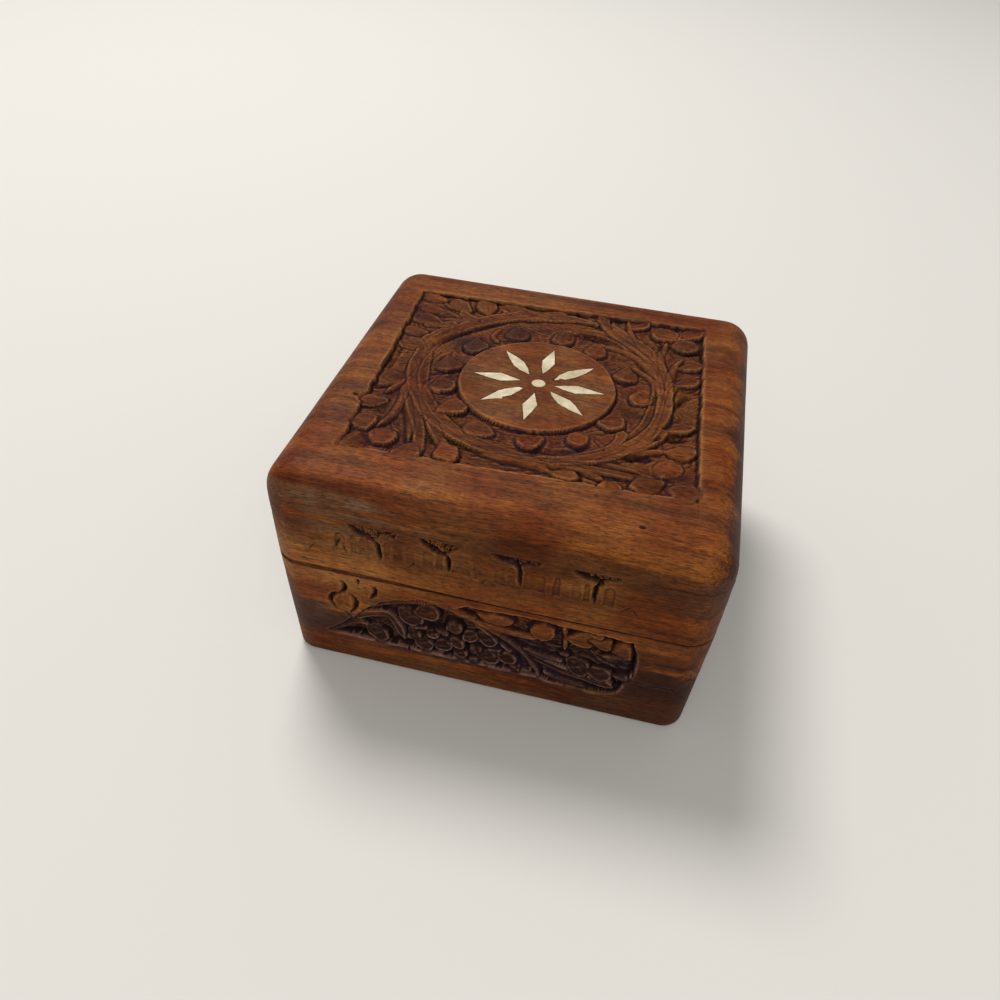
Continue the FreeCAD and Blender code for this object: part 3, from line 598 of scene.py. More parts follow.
PANEL_OUTLINE = (
    (-39.5, 9.9), (-35.6, 13.0), (-33.6, 15.2), (-31.0, 18.6), (-27.6, 22.8), (-24.6, 25.0),
    (-20.5, 27.4), (-15.5, 29.2), (-12.0, 29.4), (-7.6, 28.0), (-3.6, 30.4), (6.6, 31.0),
    (10.6, 31.2), (20.0, 30.6), (33.6, 30.2), (34.2, 26.6), (35.0, 20.6), (34.4, 16.0),
    (32.8, 12.4), (32.2, 9.8), (27.0, 8.4), (20.0, 8.6), (13.0, 9.4), (0.0, 9.6),
    (-18.0, 9.9), (-28.0, 9.7),
)
PANEL_STRANDS = (
    Strand([(-14.0, 29.0), (-9.4, 28.3), (-4.6, 26.5), (0.2, 24.3), (4.4, 21.9), (8.0, 19.0),
            (10.6, 16.2), (12.8, 12.0), (14.4, 7.9)], 1.1, 0.9, -0.08, "ridge"),
    Strand([(-28.6, 21.6), (-25.6, 24.0), (-21.2, 26.3), (-16.6, 27.9), (-11.8, 28.4)], 1.1, 1.4,
           -0.35),
    Strand([(-34.4, 13.6), (-31.6, 17.2), (-27.6, 19.6), (-23.3, 20.8), (-21.2, 18.0),
            (-19.4, 12.4)], 1.4, 1.1, -0.25),
    Strand([(-38.6, 9.6), (-35.6, 12.0), (-31.6, 15.0), (-28.6, 15.0)], 1.2, 1.0, -0.3, "ridge"),
    Strand([(-2.4, 24.6), (1.1, 21.4), (4.2, 18.4), (6.8, 16.2)], 0.7, 0.6, -0.35, "ridge"),
    Strand([(-2.4, 25.6), (1.6, 24.4), (6.6, 23.5), (12.4, 23.5)], 1.2, 1.0, -0.3, "ridge"),
    Strand([(9.6, 19.0), (13.0, 17.9), (18.6, 17.0)], 0.9, 1.0, -0.35, "ridge"),
    Strand([(10.4, 18.2), (13.4, 16.0), (20.0, 13.6), (26.0, 12.4), (32.2, 11.2)], 1.1, 1.5, -0.35),
    Strand([(14.8, 11.2), (19.0, 9.6), (25.0, 8.8)], 0.9, 1.1, -0.5, "ridge"),
    Strand([(18.2, 29.8), (18.8, 26.0), (19.0, 21.4)], 0.9, 0.7, -0.6, "ridge"),
)
PANEL_PETALS = (
    # Leaf, bud and forked flower on the golden wood above.
    Petal(2.3, 27.9, 4.7, 2.0, 356, "dome", -0.05), Petal(13.6, 27.2, 3.4, 3.1, 265, "dome", -0.02),
    Petal(22.1, 27.0, 3.6, 2.6, 10, "flat", -0.05), Petal(26.6, 27.0, 3.1, 2.4, 350, "fold"),
    Petal(32.0, 25.8, 3.2, 3.3, 60, "dome", -0.05), Petal(25.8, 29.4, 1.6, 1.1, 0, "cup", -0.1),
    Petal(29.4, 23.0, 2.2, 1.5, 20, "fold", -0.35),
    # Buds at the lower right.
    Petal(22.4, 16.4, 3.3, 2.7, 330, "cup"), Petal(27.4, 15.6, 3.1, 2.5, 345, "dish"),
    Petal(32.2, 16.2, 2.1, 1.7, 0, "fold", -0.2),
    # Two rings and a bud under the arch.
    Petal(-17.7, 21.7, 3.4, 2.8, 335, "cup", -0.05), Petal(-13.4, 24.5, 3.3, 2.7, 15, "cup", -0.05),
    Petal(-7.2, 21.4, 2.5, 2.2, 300, "dome", -0.25), Petal(-26.3, 12.6, 3.3, 2.6, 340, "cup"),
    # Small flowers packed along the foot.
    Petal(-14.9, 18.7, 2.1, 1.3, 25, "fold", -0.15), Petal(-10.2, 18.6, 2.2, 1.4, 345, "fold", -0.15),
    Petal(-12.4, 16.6, 1.9, 1.4, 0, "cup", -0.1), Petal(-17.0, 15.0, 2.3, 2.0, 300, "cup", -0.2),
    Petal(-14.8, 12.3, 2.9, 2.3, 340, "cup"), Petal(-9.9, 13.0, 2.5, 2.1, 15, "cup", -0.15),
    Petal(-6.4, 15.4, 2.3, 1.9, 330, "dish", -0.15), Petal(-5.6, 11.6, 2.1, 1.7, 350, "cup", -0.25),
    Petal(-3.2, 18.8, 2.4, 1.9, 40, "cup", -0.2), Petal(-2.2, 14.6, 2.1, 1.8, 300, "fold", -0.25),
    Petal(0.8, 19.2, 2.7, 2.0, 330, "cup", -0.15), Petal(1.0, 12.2, 3.0, 2.3, 350, "cup"),
    Petal(5.9, 13.9, 2.8, 2.2, 340, "dish", -0.1), Petal(2.8, 16.0, 1.8, 1.4, 20, "fold", -0.3),
    Petal(-2.4, 10.7, 1.6, 1.2, 0, "dome", -0.4), Petal(7.6, 10.9, 2.1, 1.5, 340, "fold", -0.3),
    Petal(10.6, 11.2, 1.7, 1.3, 0, "cup", -0.45), Petal(18.6, 20.0, 1.8, 1.1, 350, "fold", -0.6),
)
# Buds left of the arch, drawn by a cut round each and left at the face's own level.
HEART_BUD = ((-33.8, 25.2), (-35.6, 25.0), (-37.0, 22.6), (-36.4, 20.4), (-35.2, 19.2)), (
    (-32.2, 26.2), (-31.0, 25.0), (-30.6, 22.8), (-31.2, 20.6), (-32.6, 18.8))
ROUND_BUD = ((-34.0, 30.0), (-33.0, 29.2), (-33.2, 27.0), (-34.6, 25.4))
STEM_LEAF = ((-26.6, 30.6), (-25.5, 29.4), (-25.8, 27.4), (-27.0, 25.6))
STEM_LEAF_FOOT = (-29.4, 32.2), (-29.5, 30.0)


def carve_panel(x, z):
    """Sunken panel on the base, dark in its ground, with an arched vine and flowers."""
    relief = Relief(x, z, 60)
    inside = inside_outline(x, z, PANEL_OUTLINE) + 0.3 * uneven(x, z, 2.0, 61)
    stems = [relief.strand(strand, beads=26.0 if number == 1 else 0.0)
             for number, strand in enumerate(PANEL_STRANDS)]
    relief.carve(inside, 2.5, stems, PANEL_PETALS)
    relief.raw *= 0.25 + 0.75 * np.maximum(smooth(-0.4, -1.2, relief.height),
                                           smooth(24.5, 22.0, z + 0.25 * x))
    for points, width, depth in ((HEART_BUD[0], 0.75, 1.3), (HEART_BUD[1], 0.75, 1.3),
                                 (ROUND_BUD, 0.75, 1.3), (STEM_LEAF, 0.7, 1.2),
                                 (STEM_LEAF_FOOT, 0.5, 0.9)):
        relief.cut(Cut(points, width, depth), 1.1)
    for px, pz, width, length, depth in ((-33.8, 22.6, 2.6, 3.0, 0.5), (-35.6, 28.0, 2.2, 2.2, 0.5),
                                         (-27.8, 28.2, 1.1, 2.6, 0.45)):
        bowl = np.hypot((x - px) / width, (z - pz) / length)
        relief.height -= depth * smooth(1.0, 0.1, bowl)
    relief.cut(Cut([(-33.6, 19.4), (-32.6, 17.4), (-31.0, 16.4)], 0.6, 0.8))
    relief.cut(Cut([(29.4, 30.0), (29.5, 28.0), (29.2, 26.0)], 0.5, 0.9))
    relief.cut(Cut([(33.2, 30.2), (34.0, 27.0), (34.6, 23.0), (35.0, 17.4)], 0.8, 1.3))
    relief.cut(Cut([(-18.8, 13.4), (-18.4, 11.0), (-18.2, 8.2)], 0.5, 0.8))
    relief.cut(Cut([(30.6, 16.0), (31.2, 12.6), (32.2, 9.6)], 0.5, 0.9))
    relief.cut(Cut([(35.0, 22.3), (41.0, 22.4), (47.0, 23.0)], 0.35, 0.22))
    relief.cut(Cut([(35.0, 16.3), (40.0, 15.9), (46.0, 16.5)], 0.4, 0.3))
    # Painted shade in the seam at the wall's upper edge, wider to the left.
    wide = 0.12 + 0.16 * smooth(5.0, -32.0, x)
    relief.glue_and_seam_shade = 0.95 * smooth(wide, 0.3 * wide, BASE_RIM - z)
    relief.scribe((-38.5, 30.1), (-30.4, 30.2), 0.18)
    relief.scribe((-25.5, 30.3), (-8.0, 30.6), 0.14)
    relief.scribe((34.0, 30.0), (44.0, 29.9), 0.18)
    relief.rub(0.045)
    relief.height = np.minimum(relief.height, 0.0)
    return relief


# Meshes.

def new_piece(name, points, faces, material, body, replaced=(), layers=None,
              blend_angle=50):
    """Adds a mesh given in millimetres, with its own shading data for each point."""
    mesh = bpy.data.meshes.new(name)
    mesh.from_pydata((np.asarray(points, float) * MM).tolist(), [], faces)
    for layer, values in (layers or {}).items():
        attribute = mesh.attributes.new(layer, "FLOAT", "POINT")
        attribute.data.foreach_set("value", np.asarray(values, np.float32).ravel())
    tidy = bmesh.new()
    tidy.from_mesh(mesh)
    bmesh.ops.remove_doubles(tidy, verts=tidy.verts, dist=1e-7)
    bmesh.ops.dissolve_degenerate(tidy, edges=tidy.edges, dist=1e-7)
    bmesh.ops.recalc_face_normals(tidy, faces=tidy.faces)
    tidy.to_mesh(mesh)
    tidy.free()
    mesh.shade_smooth()
    mesh.set_sharp_from_angle(angle=math.radians(blend_angle))
    mesh.materials.append(material)
    piece = bpy.data.objects.new(name, mesh)
    bpy.context.scene.collection.objects.link(piece)
    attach(piece, body)
    if replaced:
        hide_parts(*replaced)
    return piece


def grid_faces(columns, rows, start=0):
    index = np.arange(columns * rows).reshape(rows, columns) + start
    quads = np.stack([index[:-1, :-1], index[:-1, 1:], index[1:, 1:], index[1:, :-1]], -1)
    return quads.reshape(-1, 4).tolist()


def carved_board(carve, fine):
    """Top board: carved flat, rounded edge, straight side and flat underside."""
    reach = CORNER_ROUND
    drop = TOP_DROP
    flat = HALF_WIDTH - reach
    inner = 41.4
    line = np.concatenate([np.linspace(-flat, -inner, 5)[:-1],
                           np.linspace(-inner, inner, int(2 * inner / fine)),
                           np.linspace(inner, flat, 5)[1:]])
    x, y = np.meshgrid(line, line)
    relief = carve(x, y)
    count = len(line)
    points = [np.stack([x, y, BOX_TOP + relief.height], -1).reshape(-1, 3)]
    faces = grid_faces(count, count)

    index = np.arange(count * count).reshape(count, count)
    sides = ((index[0, :], -90.0), (index[:, -1], 0.0), (index[-1, ::-1], 90.0),
             (index[::-1, 0], 180.0))
    spokes = []
    for border, facing in sides:
        spokes += [(corner, facing) for corner in border[:-1]]
        spokes += [(border[-1], facing + step) for step in range(0, 90, 10)]
    base = points[0][[spoke[0] for spoke in spokes]]
    facing = np.radians([spoke[1] for spoke in spokes])
    outward = np.stack([np.cos(facing), np.sin(facing), np.zeros(len(facing))], -1)
    wave = 0.09 * uneven(base[:, 0] + outward[:, 0] * 5, base[:, 1] + outward[:, 1] * 5, 14.0, 77)
    rings = [(math.sin(a), drop * (1 - math.cos(a))) for a in np.radians(range(10, 91, 10))]
    board_low = BOARD_LOW.z
    depth = BOX_TOP - board_low
    rings += [(1.0, drop + (depth - drop) * 0.55), (1.0, depth)]
    previous = [spoke[0] for spoke in spokes]
    total = count * count
    for number, (out, down) in enumerate(rings):
        fade = min(1.0, number / 6.0)
        ring = base + outward * (reach * out - np.abs(wave)[:, None] * fade)
        ring[:, 2] = base[:, 2] * (1 - fade) + BOX_TOP * fade - down
        points.append(ring)
        current = list(range(total, total + len(spokes)))
        for a, b, c, d in zip(previous, previous[1:] + previous[:1],
                              current[1:] + current[:1], current):
            faces.append([d, c, b, a] if a != b else [d, c, a])
        previous = current
        total += len(spokes)
    faces.append(previous)
    plain = np.zeros(total - count * count)
    layers = {name: np.concatenate([values.ravel(), plain])
              for name, values in relief.layers().items()}
    return np.vstack(points), faces, layers


def wall_contour(fine):
    """Outline of a front wall seen from above: side stub, corner, face, corner, stub.

    Returns the place along the face, the points and the outward directions.
    """
    r = CORNER_ROUND
    left = [(-HALF_WIDTH, y, -1.0, 0.0)
            for y in np.linspace(WALL - HALF_WIDTH, r - HALF_WIDTH, 5)[:-1]]
    for turn in np.radians(range(180, 270, 5)):
        nx, ny = math.cos(turn), math.sin(turn)
        left.append((r * nx - HALF_WIDTH + r, r * ny - HALF_WIDTH + r, nx, ny))
    face = np.linspace(r - HALF_WIDTH, HALF_WIDTH - r, int((2 * (HALF_WIDTH - r)) / fine))
    middle = [(x, -HALF_WIDTH, 0.0, -1.0) for x in face]
    right = [(-x, y, -nx, ny) for x, y, nx, ny in reversed(left)]
    contour = np.array(left + middle + right)
    run = np.concatenate([[0.0], np.cumsum(np.hypot(*np.diff(contour[:, :2], axis=0).T))])
    return run - run[-1] / 2, contour[:, :2], contour[:, 2:]


def straight_contour(fine):
    """Outline of a side wall, which stands between the front and back walls."""
    half = HALF_WIDTH - WALL
    place = np.linspace(-half, half, int(2 * half / fine))
    points = np.stack([place, np.full(len(place), -HALF_WIDTH)], -1)
    return place, points, np.tile([0.0, -1.0], (len(place), 1))


def carved_wall(carve, contour, low, high, fine, insets, turn=0.0, arris=(0.0, 0.0),
                closing=(0.0, 0.0)):
    """Wall swept along its outline with its carved face, then closed behind.

    The insets are how far in its face stands at its bottom and top, the arrises how far its
    lower and upper edges are worn round, and the closing how far its lower edge reaches
    down over the seam at its two ends.
    """
    place, plan, outward = contour
    columns = len(place)
    rows = np.linspace(low, high, int((high - low) / fine) + 1)
    u, z = np.meshgrid(place, rows)
    relief = carve(u, z)
    inset = np.interp(rows, [low, high], insets)
    for edge, radius in zip((low, high), arris):
        gap = np.clip(radius - np.abs(rows - edge), 0.0, radius)
        inset += radius - np.sqrt(np.maximum(radius ** 2 - gap ** 2, 0.0))
    push = relief.height - inset[:, None]
    px = plan[None, :, 0] + outward[None, :, 0] * push
    py = plan[None, :, 1] + outward[None, :, 1] * push
    share = smooth(-32.0, 12.0, u) if closing[0] <= closing[1] else smooth(-12.0, 32.0, u)
    z = z - (closing[0] + (closing[1] - closing[0]) * share) * smooth(2.5, 0.0, z - low)
    outer = np.stack([px, py, z], -1).reshape(-1, 3)
    faces = grid_faces(columns, len(rows))
    hidden = []
    for row in (0, -1):
        inner = plan - outward * (inset[row] + WORN_RIM)
        hidden.append(np.column_stack([inner, z[row]]))
        hidden.append(np.stack([inner[:, 0], np.full(columns, WALL - HALF_WIDTH), z[row]], -1))
    lip_low, low_back, lip_high, high_back = (
        columns * (len(rows) + number) for number in range(4))
    strips = ((0, lip_low), (lip_low, low_back), (low_back, high_back), (high_back, lip_high),
              (lip_high, lip_low - columns))
    for i in range(columns - 1):
        for near, far in strips:
            faces.append([near + i + 1, near + i, far + i, far + i + 1])
    for column in (0, columns - 1):
        edge = [row * columns + column for row in range(len(rows))]
        faces.append([low_back + column, lip_low + column, *edge, lip_high + column,
                      high_back + column])
    points = np.vstack([outer, *hidden])
    spin = math.radians(turn)
    x, y = points[:, 0].copy(), points[:, 1].copy()
    points[:, 0] = x * math.cos(spin) - y * math.sin(spin)
    points[:, 1] = x * math.sin(spin) + y * math.cos(spin)
    plain = np.zeros(4 * columns)
    layers = {name: np.concatenate([values.ravel(), plain])
              for name, values in relief.layers().items()}
    return points, faces, layers


def foot_board():
    """Base board under the walls: its sides lean in and its lower edge is rounded."""
    outline = []
    for quarter in range(4):
        turn = math.radians(90 * quarter)
        for degrees in range(-45, 46, 5):
            outline.append((turn + math.radians(degrees + 45), quarter))
    profile = [(0.0, FOOT_ROUND * 0.94)]
    for degrees in range(15, 91, 15):
        t = math.radians(degrees)
        profile.append((FOOT_ROUND * (1 - math.cos(t)), FOOT_ROUND * (1 - math.sin(t))))
    profile += [(FOOT_HIGH.z / 2, 0.0), (FOOT_HIGH.z, 0.0)]
    points, faces = [], []
    count = len(outline)
    for z, inset in profile:
        total = SEAM_INSET + BASE_LEAN * (BASE_RIM - z) + inset
        for turn, quarter in outline:
            sx, sy = ((1, 1), (-1, 1), (-1, -1), (1, -1))[quarter]
            radius = CORNER_ROUND - total
            cx, cy = sx * (HALF_WIDTH - CORNER_ROUND), sy * (HALF_WIDTH - CORNER_ROUND)
            points.append((cx + radius * math.cos(turn), cy + radius * math.sin(turn), z))
    for ring in range(len(profile) - 1):
        for i in range(count):
            j = (i + 1) % count
            faces.append([ring * count + i, ring * count + j, (ring + 1) * count + j,
                          (ring + 1) * count + i])
    faces.append(list(range(count)))
    faces.append(list(range((len(profile) - 1) * count, len(profile) * count)))
    return points, faces


def slotted_screw(x, y, face, way, turn):
    """Countersunk screw driven down or up from its face, with a slot sawn across its head."""
    half_slot = SLOT_WIDTH / 2
    opening = math.asin(half_slot / SCREW_HEAD)
    arc = np.linspace(opening, math.pi - opening, 13)
    angles = np.concatenate([arc, math.pi + arc])
    floor = math.sqrt((SCREW_HEAD - SLOT_DEPTH) ** 2 - half_slot ** 2)
    round_screw = np.stack([np.cos(angles), np.sin(angles)], -1)
    slot = [(floor, half_slot), (-floor, half_slot), (-floor, -half_slot), (floor, -half_slot)]
    flat = np.vstack([round_screw * SCREW_HEAD, round_screw * SCREW_SHANK,
                      round_screw * SCREW_SHANK, slot])
    down = np.repeat([0.0, SCREW_HEAD - SCREW_SHANK, SCREW_LENGTH, SLOT_DEPTH], (26, 26, 26, 4))
    points = np.stack([x + flat[:, 0] * math.cos(turn) - flat[:, 1] * math.sin(turn),
                       y + flat[:, 0] * math.sin(turn) + flat[:, 1] * math.cos(turn),
                       face + way * down], -1)
    faces = [list(range(13)), list(range(13, 26)), list(range(52, 78)), [78, 79, 80, 81],
             [0, 12, 79, 78], [13, 25, 81, 80], [12, 79, 80, 13, 39, 38], [25, 81, 78, 0, 26, 51]]
    faces += [[i, i + 1, i + 27, i + 26] for i in (*range(12), *range(13, 25))]
    faces += [[26 + i, 26 + (i + 1) % 26, 52 + (i + 1) % 26, 52 + i] for i in range(26)]
    return points, faces


def inlay_mesh(corners, turn, seed):
    """Sawn piece of inlay with slightly ragged sides and softened upper edges."""
    loop = []
    draw = np.random.default_rng(seed)
    for (ax, ay), (bx, by) in zip(corners, corners[1:] + corners[:1]):
        length = math.hypot(bx - ax, by - ay)
        nx, ny = (by - ay) / length, -(bx - ax) / length
        for share in np.linspace(0.0, 1.0, max(2, int(length / 0.35)), endpoint=False):
            stray = draw.uniform(-0.06, 0.03) if share else 0.0
            loop.append((ax + (bx - ax) * share + nx * stray,
                         ay + (by - ay) * share + ny * stray))
    outline = np.array(loop)
    centre = outline.mean(axis=0)
    inward = centre - outline
    inward /= np.maximum(np.hypot(*inward.T), 1e-6)[:, None]
    rings = ((0.0, -1.2), (0.0, -0.06), (0.07, 0.0))
    spun = []
    for step, height in rings:
        ring = outline + inward * step
        spun.append(np.stack([
            ring[:, 0] * math.cos(turn) - ring[:, 1] * math.sin(turn),
            ring[:, 0] * math.sin(turn) + ring[:, 1] * math.cos(turn),
            np.full(len(ring), BOX_TOP + height)], -1))
    count = len(outline)
    faces = [[r * count + i, r * count + (i + 1) % count, (r + 1) * count + (i + 1) % count,
              (r + 1) * count + i] for r in range(2) for i in range(count)]
    faces.append(list(range(count))[::-1])
    faces.append(list(range(2 * count, 3 * count)))
    return np.vstack(spun), faces


# Materials.

def linear(hex_colour, alpha=1.0):
    """Colour of an sRGB hex value, as Blender's sockets take it."""
    parts = [int(hex_colour[i:i + 2], 16) / 255.0 for i in (1, 3, 5)]
    return (*[c / 12.92 if c <= 0.04045 else ((c + 0.055) / 1.055) ** 2.4 for c in parts], alpha)


def add_node(tree, kind, settings=(), inputs=(), stops=()):
    """Adds a node, sets its properties and colour stops, and sets or links its inputs."""
    node = tree.nodes.new(kind)
    for name, value in dict(settings).items():
        setattr(node, name, value)
    for number, (place, colour) in enumerate(stops):
        elements = node.color_ramp.elements
        element = elements[number] if number < 2 else elements.new(place)
        element.position = place
        element.color = colour
    for socket, value in dict(inputs).items():
        if isinstance(value, bpy.types.NodeSocket):
            tree.links.new(value, node.inputs[socket])
        else:
            node.inputs[socket].default_value = value
    return node


def new_material(name):
    material = bpy.data.materials.new(name)
    material.use_nodes = True
    tree = material.node_tree
    tree.nodes.clear()
    output = add_node(tree, "ShaderNodeOutputMaterial")
    shader = add_node(tree, "ShaderNodeBsdfPrincipled")
    tree.links.new(shader.outputs["BSDF"], output.inputs["Surface"])
    return material, tree, shader


def per_mm(width):
    """Noise scale for features of a real width in millimetres."""
    return 1.0 / (width * MM)


# Places where the wood differs: centre and reach in millimetres, how strong the tint is, and the colour
# of its rubbed, highlighted ridges.
Spot = namedtuple("Spot", "centre reach tint strength rubbed", defaults=("#6c4c30",))
WOOD_SPOTS = (
    # Purple-brown heartwood that runs through the base, and along the right top edge.
    Spot((10.0, 0.0, 15.2), (72.0, 400.0, 8.2), "#301c18", 0.88, "#8f6a60"),
    Spot((-48.0, -48.0, 16.0), (14.0, 20.0, 8.0), "#4b3226", 0.8),
    Spot((-14.0, -52.0, 22.5), (15.0, 9.0, 6.4), "#351f1a", 0.75, "#8a6255"),
    Spot((52.5, -20.0, 53.0), (5.5, 60.0, 9.0), "#3a2220", 0.75),
    Spot((46.0, -52.0, 47.0), (16.0, 9.0, 5.0), "#4a2c26", 0.55),
    # Darker streaks over the front edge and at the foot on the right, golden on the left.
    Spot((22.0, -50.5, 50.5), (42.0, 5.0, 3.6), "#4c2b17", 0.6),
    Spot((48.0, -50.0, 4.0), (36.0, 30.0, 9.0), "#46281a", 0.75),
    Spot((-40.0, -51.0, 35.0), (26.0, 5.0, 8.0), "#a4703a", 0.7),
    Spot((-4.0, -50.0, 1.0), (56.0, 6.0, 5.0), "#4d321f", 0.5),
    # Painted reflection: grey sheen streaks over the front left edge and its rounding.
    Spot((-43.0, -50.5, 54.4), (20.0, 4.0, 1.7), "#78644f", 0.7),
    Spot((-36.0, -50.8, 51.4), (24.0, 4.0, 1.4), "#6a5340", 0.6),
    Spot((-40.0, -51.0, 46.6), (20.0, 4.0, 2.0), "#6a5038", 0.5),
    # Olive brown over the middle of the lid's front.
    Spot((0.0, -52.0, 45.0), (62.0, 8.0, 9.0), "#4d3418", 0.35),
    # Petals that took more of the stain, and some that took less.
    Spot((-19.4, 13.2, 58.0), (5.6, 4.6, 3.0), "#3c2122", 0.75, "#6c4a42"),
    Spot((-22.6, 3.0, 58.0), (5.0, 4.6, 3.0), "#46261c", 0.6),
    Spot((-10.3, 22.3, 58.0), (4.6, 4.0, 3.0), "#46281f", 0.6),
    Spot((12.7, -18.0, 58.0), (4.2, 3.4, 3.0), "#8a5420", 0.65),
    Spot((-14.4, -31.4, 58.0), (4.6, 4.6, 3.0), "#85491c", 0.5),
    # The medallion, paler from handling and partly from a painted sheen, and a few smudges and pin knots.
    Spot((0.0, 0.0, 58.5), (19.6, 19.6, 0.8), "#6f4f2c", 0.45),
    Spot((10.9, -43.5, 58.0), (4.0, 2.4, 5.0), "#4a2a14", 0.5),
    Spot((-31.4, -41.3, 58.5), (2.2, 1.2, 4.0), "#4a2a16", 0.5),
    Spot((30.4, -44.3, 58.3), (0.75, 0.6, 2.0), "#120806", 0.95),
    Spot((-40.6, -16.9, 58.5), (0.7, 0.45, 4.0), "#160b08", 0.9),
)


def sheesham(name, grain):
    """Sheesham, an Indian rosewood: hand planed, stained dark in the cuts and waxed; its colour also
    carries painted shade in the cuts and painted highlights on the ridges.

    Golden to purple-brown bands run along the grain with short open pores between them,
    so the eye sees streaks that lengthen with the board and a low, uneven sheen. What the
    gouge left raw drinks the stain and stays duller than the waxed faces round it.
    """
    material, tree, shader = new_material(name)
    look = settings()
    place = add_node(tree, "ShaderNodeTexCoord").outputs["Object"]
    bend = add_node(tree, "ShaderNodeTexNoise", inputs={
        "Vector": place, "Scale": per_mm(38.0), "Detail": 2.0, "Roughness": 0.5})
    sway = add_node(tree, "ShaderNodeVectorMath", {"operation": "SCALE"}, {
        0: bend.outputs["Color"], "Scale": 2.6 * MM})
    bent = add_node(tree, "ShaderNodeVectorMath", {"operation": "ADD"}, {
        0: place, 1: sway.outputs["Vector"]})
    fibre = add_node(tree, "ShaderNodeMapping", inputs={
        "Vector": bent.outputs["Vector"],
        "Scale": {"X": (0.055, 1.0, 1.0), "Y": (1.0, 0.055, 1.0)}[grain]})
    short_fibre = add_node(tree, "ShaderNodeMapping", inputs={
        "Vector": bent.outputs["Vector"],
        "Scale": {"X": (0.13, 1.0, 1.0), "Y": (1.0, 0.13, 1.0)}[grain]})

    bands = add_node(tree, "ShaderNodeTexNoise", inputs={
        "Vector": fibre.outputs["Vector"], "Scale": per_mm(6.0), "Detail": 5.0,
        "Roughness": 0.66, "Distortion": 0.3})
    banded = add_node(tree, "ShaderNodeValToRGB", inputs={"Fac": bands.outputs["Fac"]}, stops=(
        (0.26, look.dark_wood), (0.43, look.brown_wood), (0.56, look.red_wood),
        (0.72, look.golden_wood)))
    streaks = add_node(tree, "ShaderNodeTexNoise", inputs={
        "Vector": fibre.outputs["Vector"], "Scale": per_mm(0.5), "Detail": 4.0,
        "Roughness": 0.75})
    flecks = add_node(tree, "ShaderNodeTexNoise", inputs={
        "Vector": short_fibre.outputs["Vector"], "Scale": per_mm(0.33), "Detail": 3.0,
        "Roughness": 0.7})
    grainy = add_node(tree, "ShaderNodeMath", {"operation": "ADD"}, {
        0: streaks.outputs["Fac"], 1: flecks.outputs["Fac"]})
    fine = add_node(tree, "ShaderNodeMapRange", {"clamp": False}, {
        "Value": grainy.outputs["Value"], "From Min": 0.7, "From Max": 1.3, "To Min": 0.42,
        "To Max": 1.58})
    broken = add_node(tree, "ShaderNodeMath", {"operation": "MULTIPLY_ADD"}, {
        0: streaks.outputs["Fac"], 1: 0.6, 2: bands.outputs["Fac"]})
    uneven_edge = add_node(tree, "ShaderNodeMath", {"operation": "SUBTRACT"}, {
        0: broken.outputs["Value"], 1: 0.3})
    boards, ridge_boards = tinted(tree, place, uneven_edge.outputs["Value"],
                                  banded.outputs["Color"], look.rubbed_and_lit_wood)
    streaky = add_node(tree, "ShaderNodeVectorMath", {"operation": "SCALE"}, {
        0: boards, "Scale": fine.outputs["Result"]})
    rubbed = add_node(tree, "ShaderNodeVectorMath", {"operation": "SCALE"}, {
        0: ridge_boards, "Scale": fine.outputs["Result"]})

    cloud = add_node(tree, "ShaderNodeTexNoise", inputs={
        "Vector": place, "Scale": per_mm(17.0), "Detail": 3.0, "Roughness": 0.55})
    cloudy = add_node(tree, "ShaderNodeMapRange", inputs={
        "Value": cloud.outputs["Fac"], "From Min": 0.38, "From Max": 0.62})
    clouded = add_node(tree, "ShaderNodeMix", {"data_type": "RGBA", "blend_type": "MULTIPLY"}, {
        "Factor": cloudy.outputs["Result"], "A": streaky.outputs["Vector"],
        "B": linear("#d6b08c")})

    specks = add_node(tree, "ShaderNodeTexNoise", inputs={
        "Vector": short_fibre.outputs["Vector"], "Scale": per_mm(0.24), "Detail": 1.0,
        "Roughness": 0.4})
    open_pore = add_node(tree, "ShaderNodeMapRange", inputs={
        "Value": specks.outputs["Fac"], "From Min": 0.60, "From Max": 0.68, "To Max": 0.55})
    pored = add_node(tree, "ShaderNodeMix", {"data_type": "RGBA"}, {
        "Factor": open_pore.outputs["Result"], "A": clouded.outputs["Result"],
        "B": linear("#24140d")})
    breakup = add_node(tree, "ShaderNodeTexNoise", inputs={
        "Vector": place, "Scale": per_mm(1.2), "Detail": 4.0, "Roughness": 0.65})
    petals = add_node(tree, "ShaderNodeAttribute", {"attribute_name": "tone"})
    mottling = add_node(tree, "ShaderNodeMapRange", {"clamp": False}, {
        "Value": breakup.outputs["Fac"], "From Min": 0.3, "From Max": 0.7, "To Min": 0.8,
        "To Max": 1.2})
    toned = add_node(tree, "ShaderNodeMath", {"operation": "MULTIPLY_ADD"}, {
        0: petals.outputs["Fac"], 1: 0.2, 2: mottling.outputs["Result"]})
    mottled = add_node(tree, "ShaderNodeVectorMath", {"operation": "SCALE"}, {
        0: pored.outputs["Result"], "Scale": toned.outputs["Value"]})

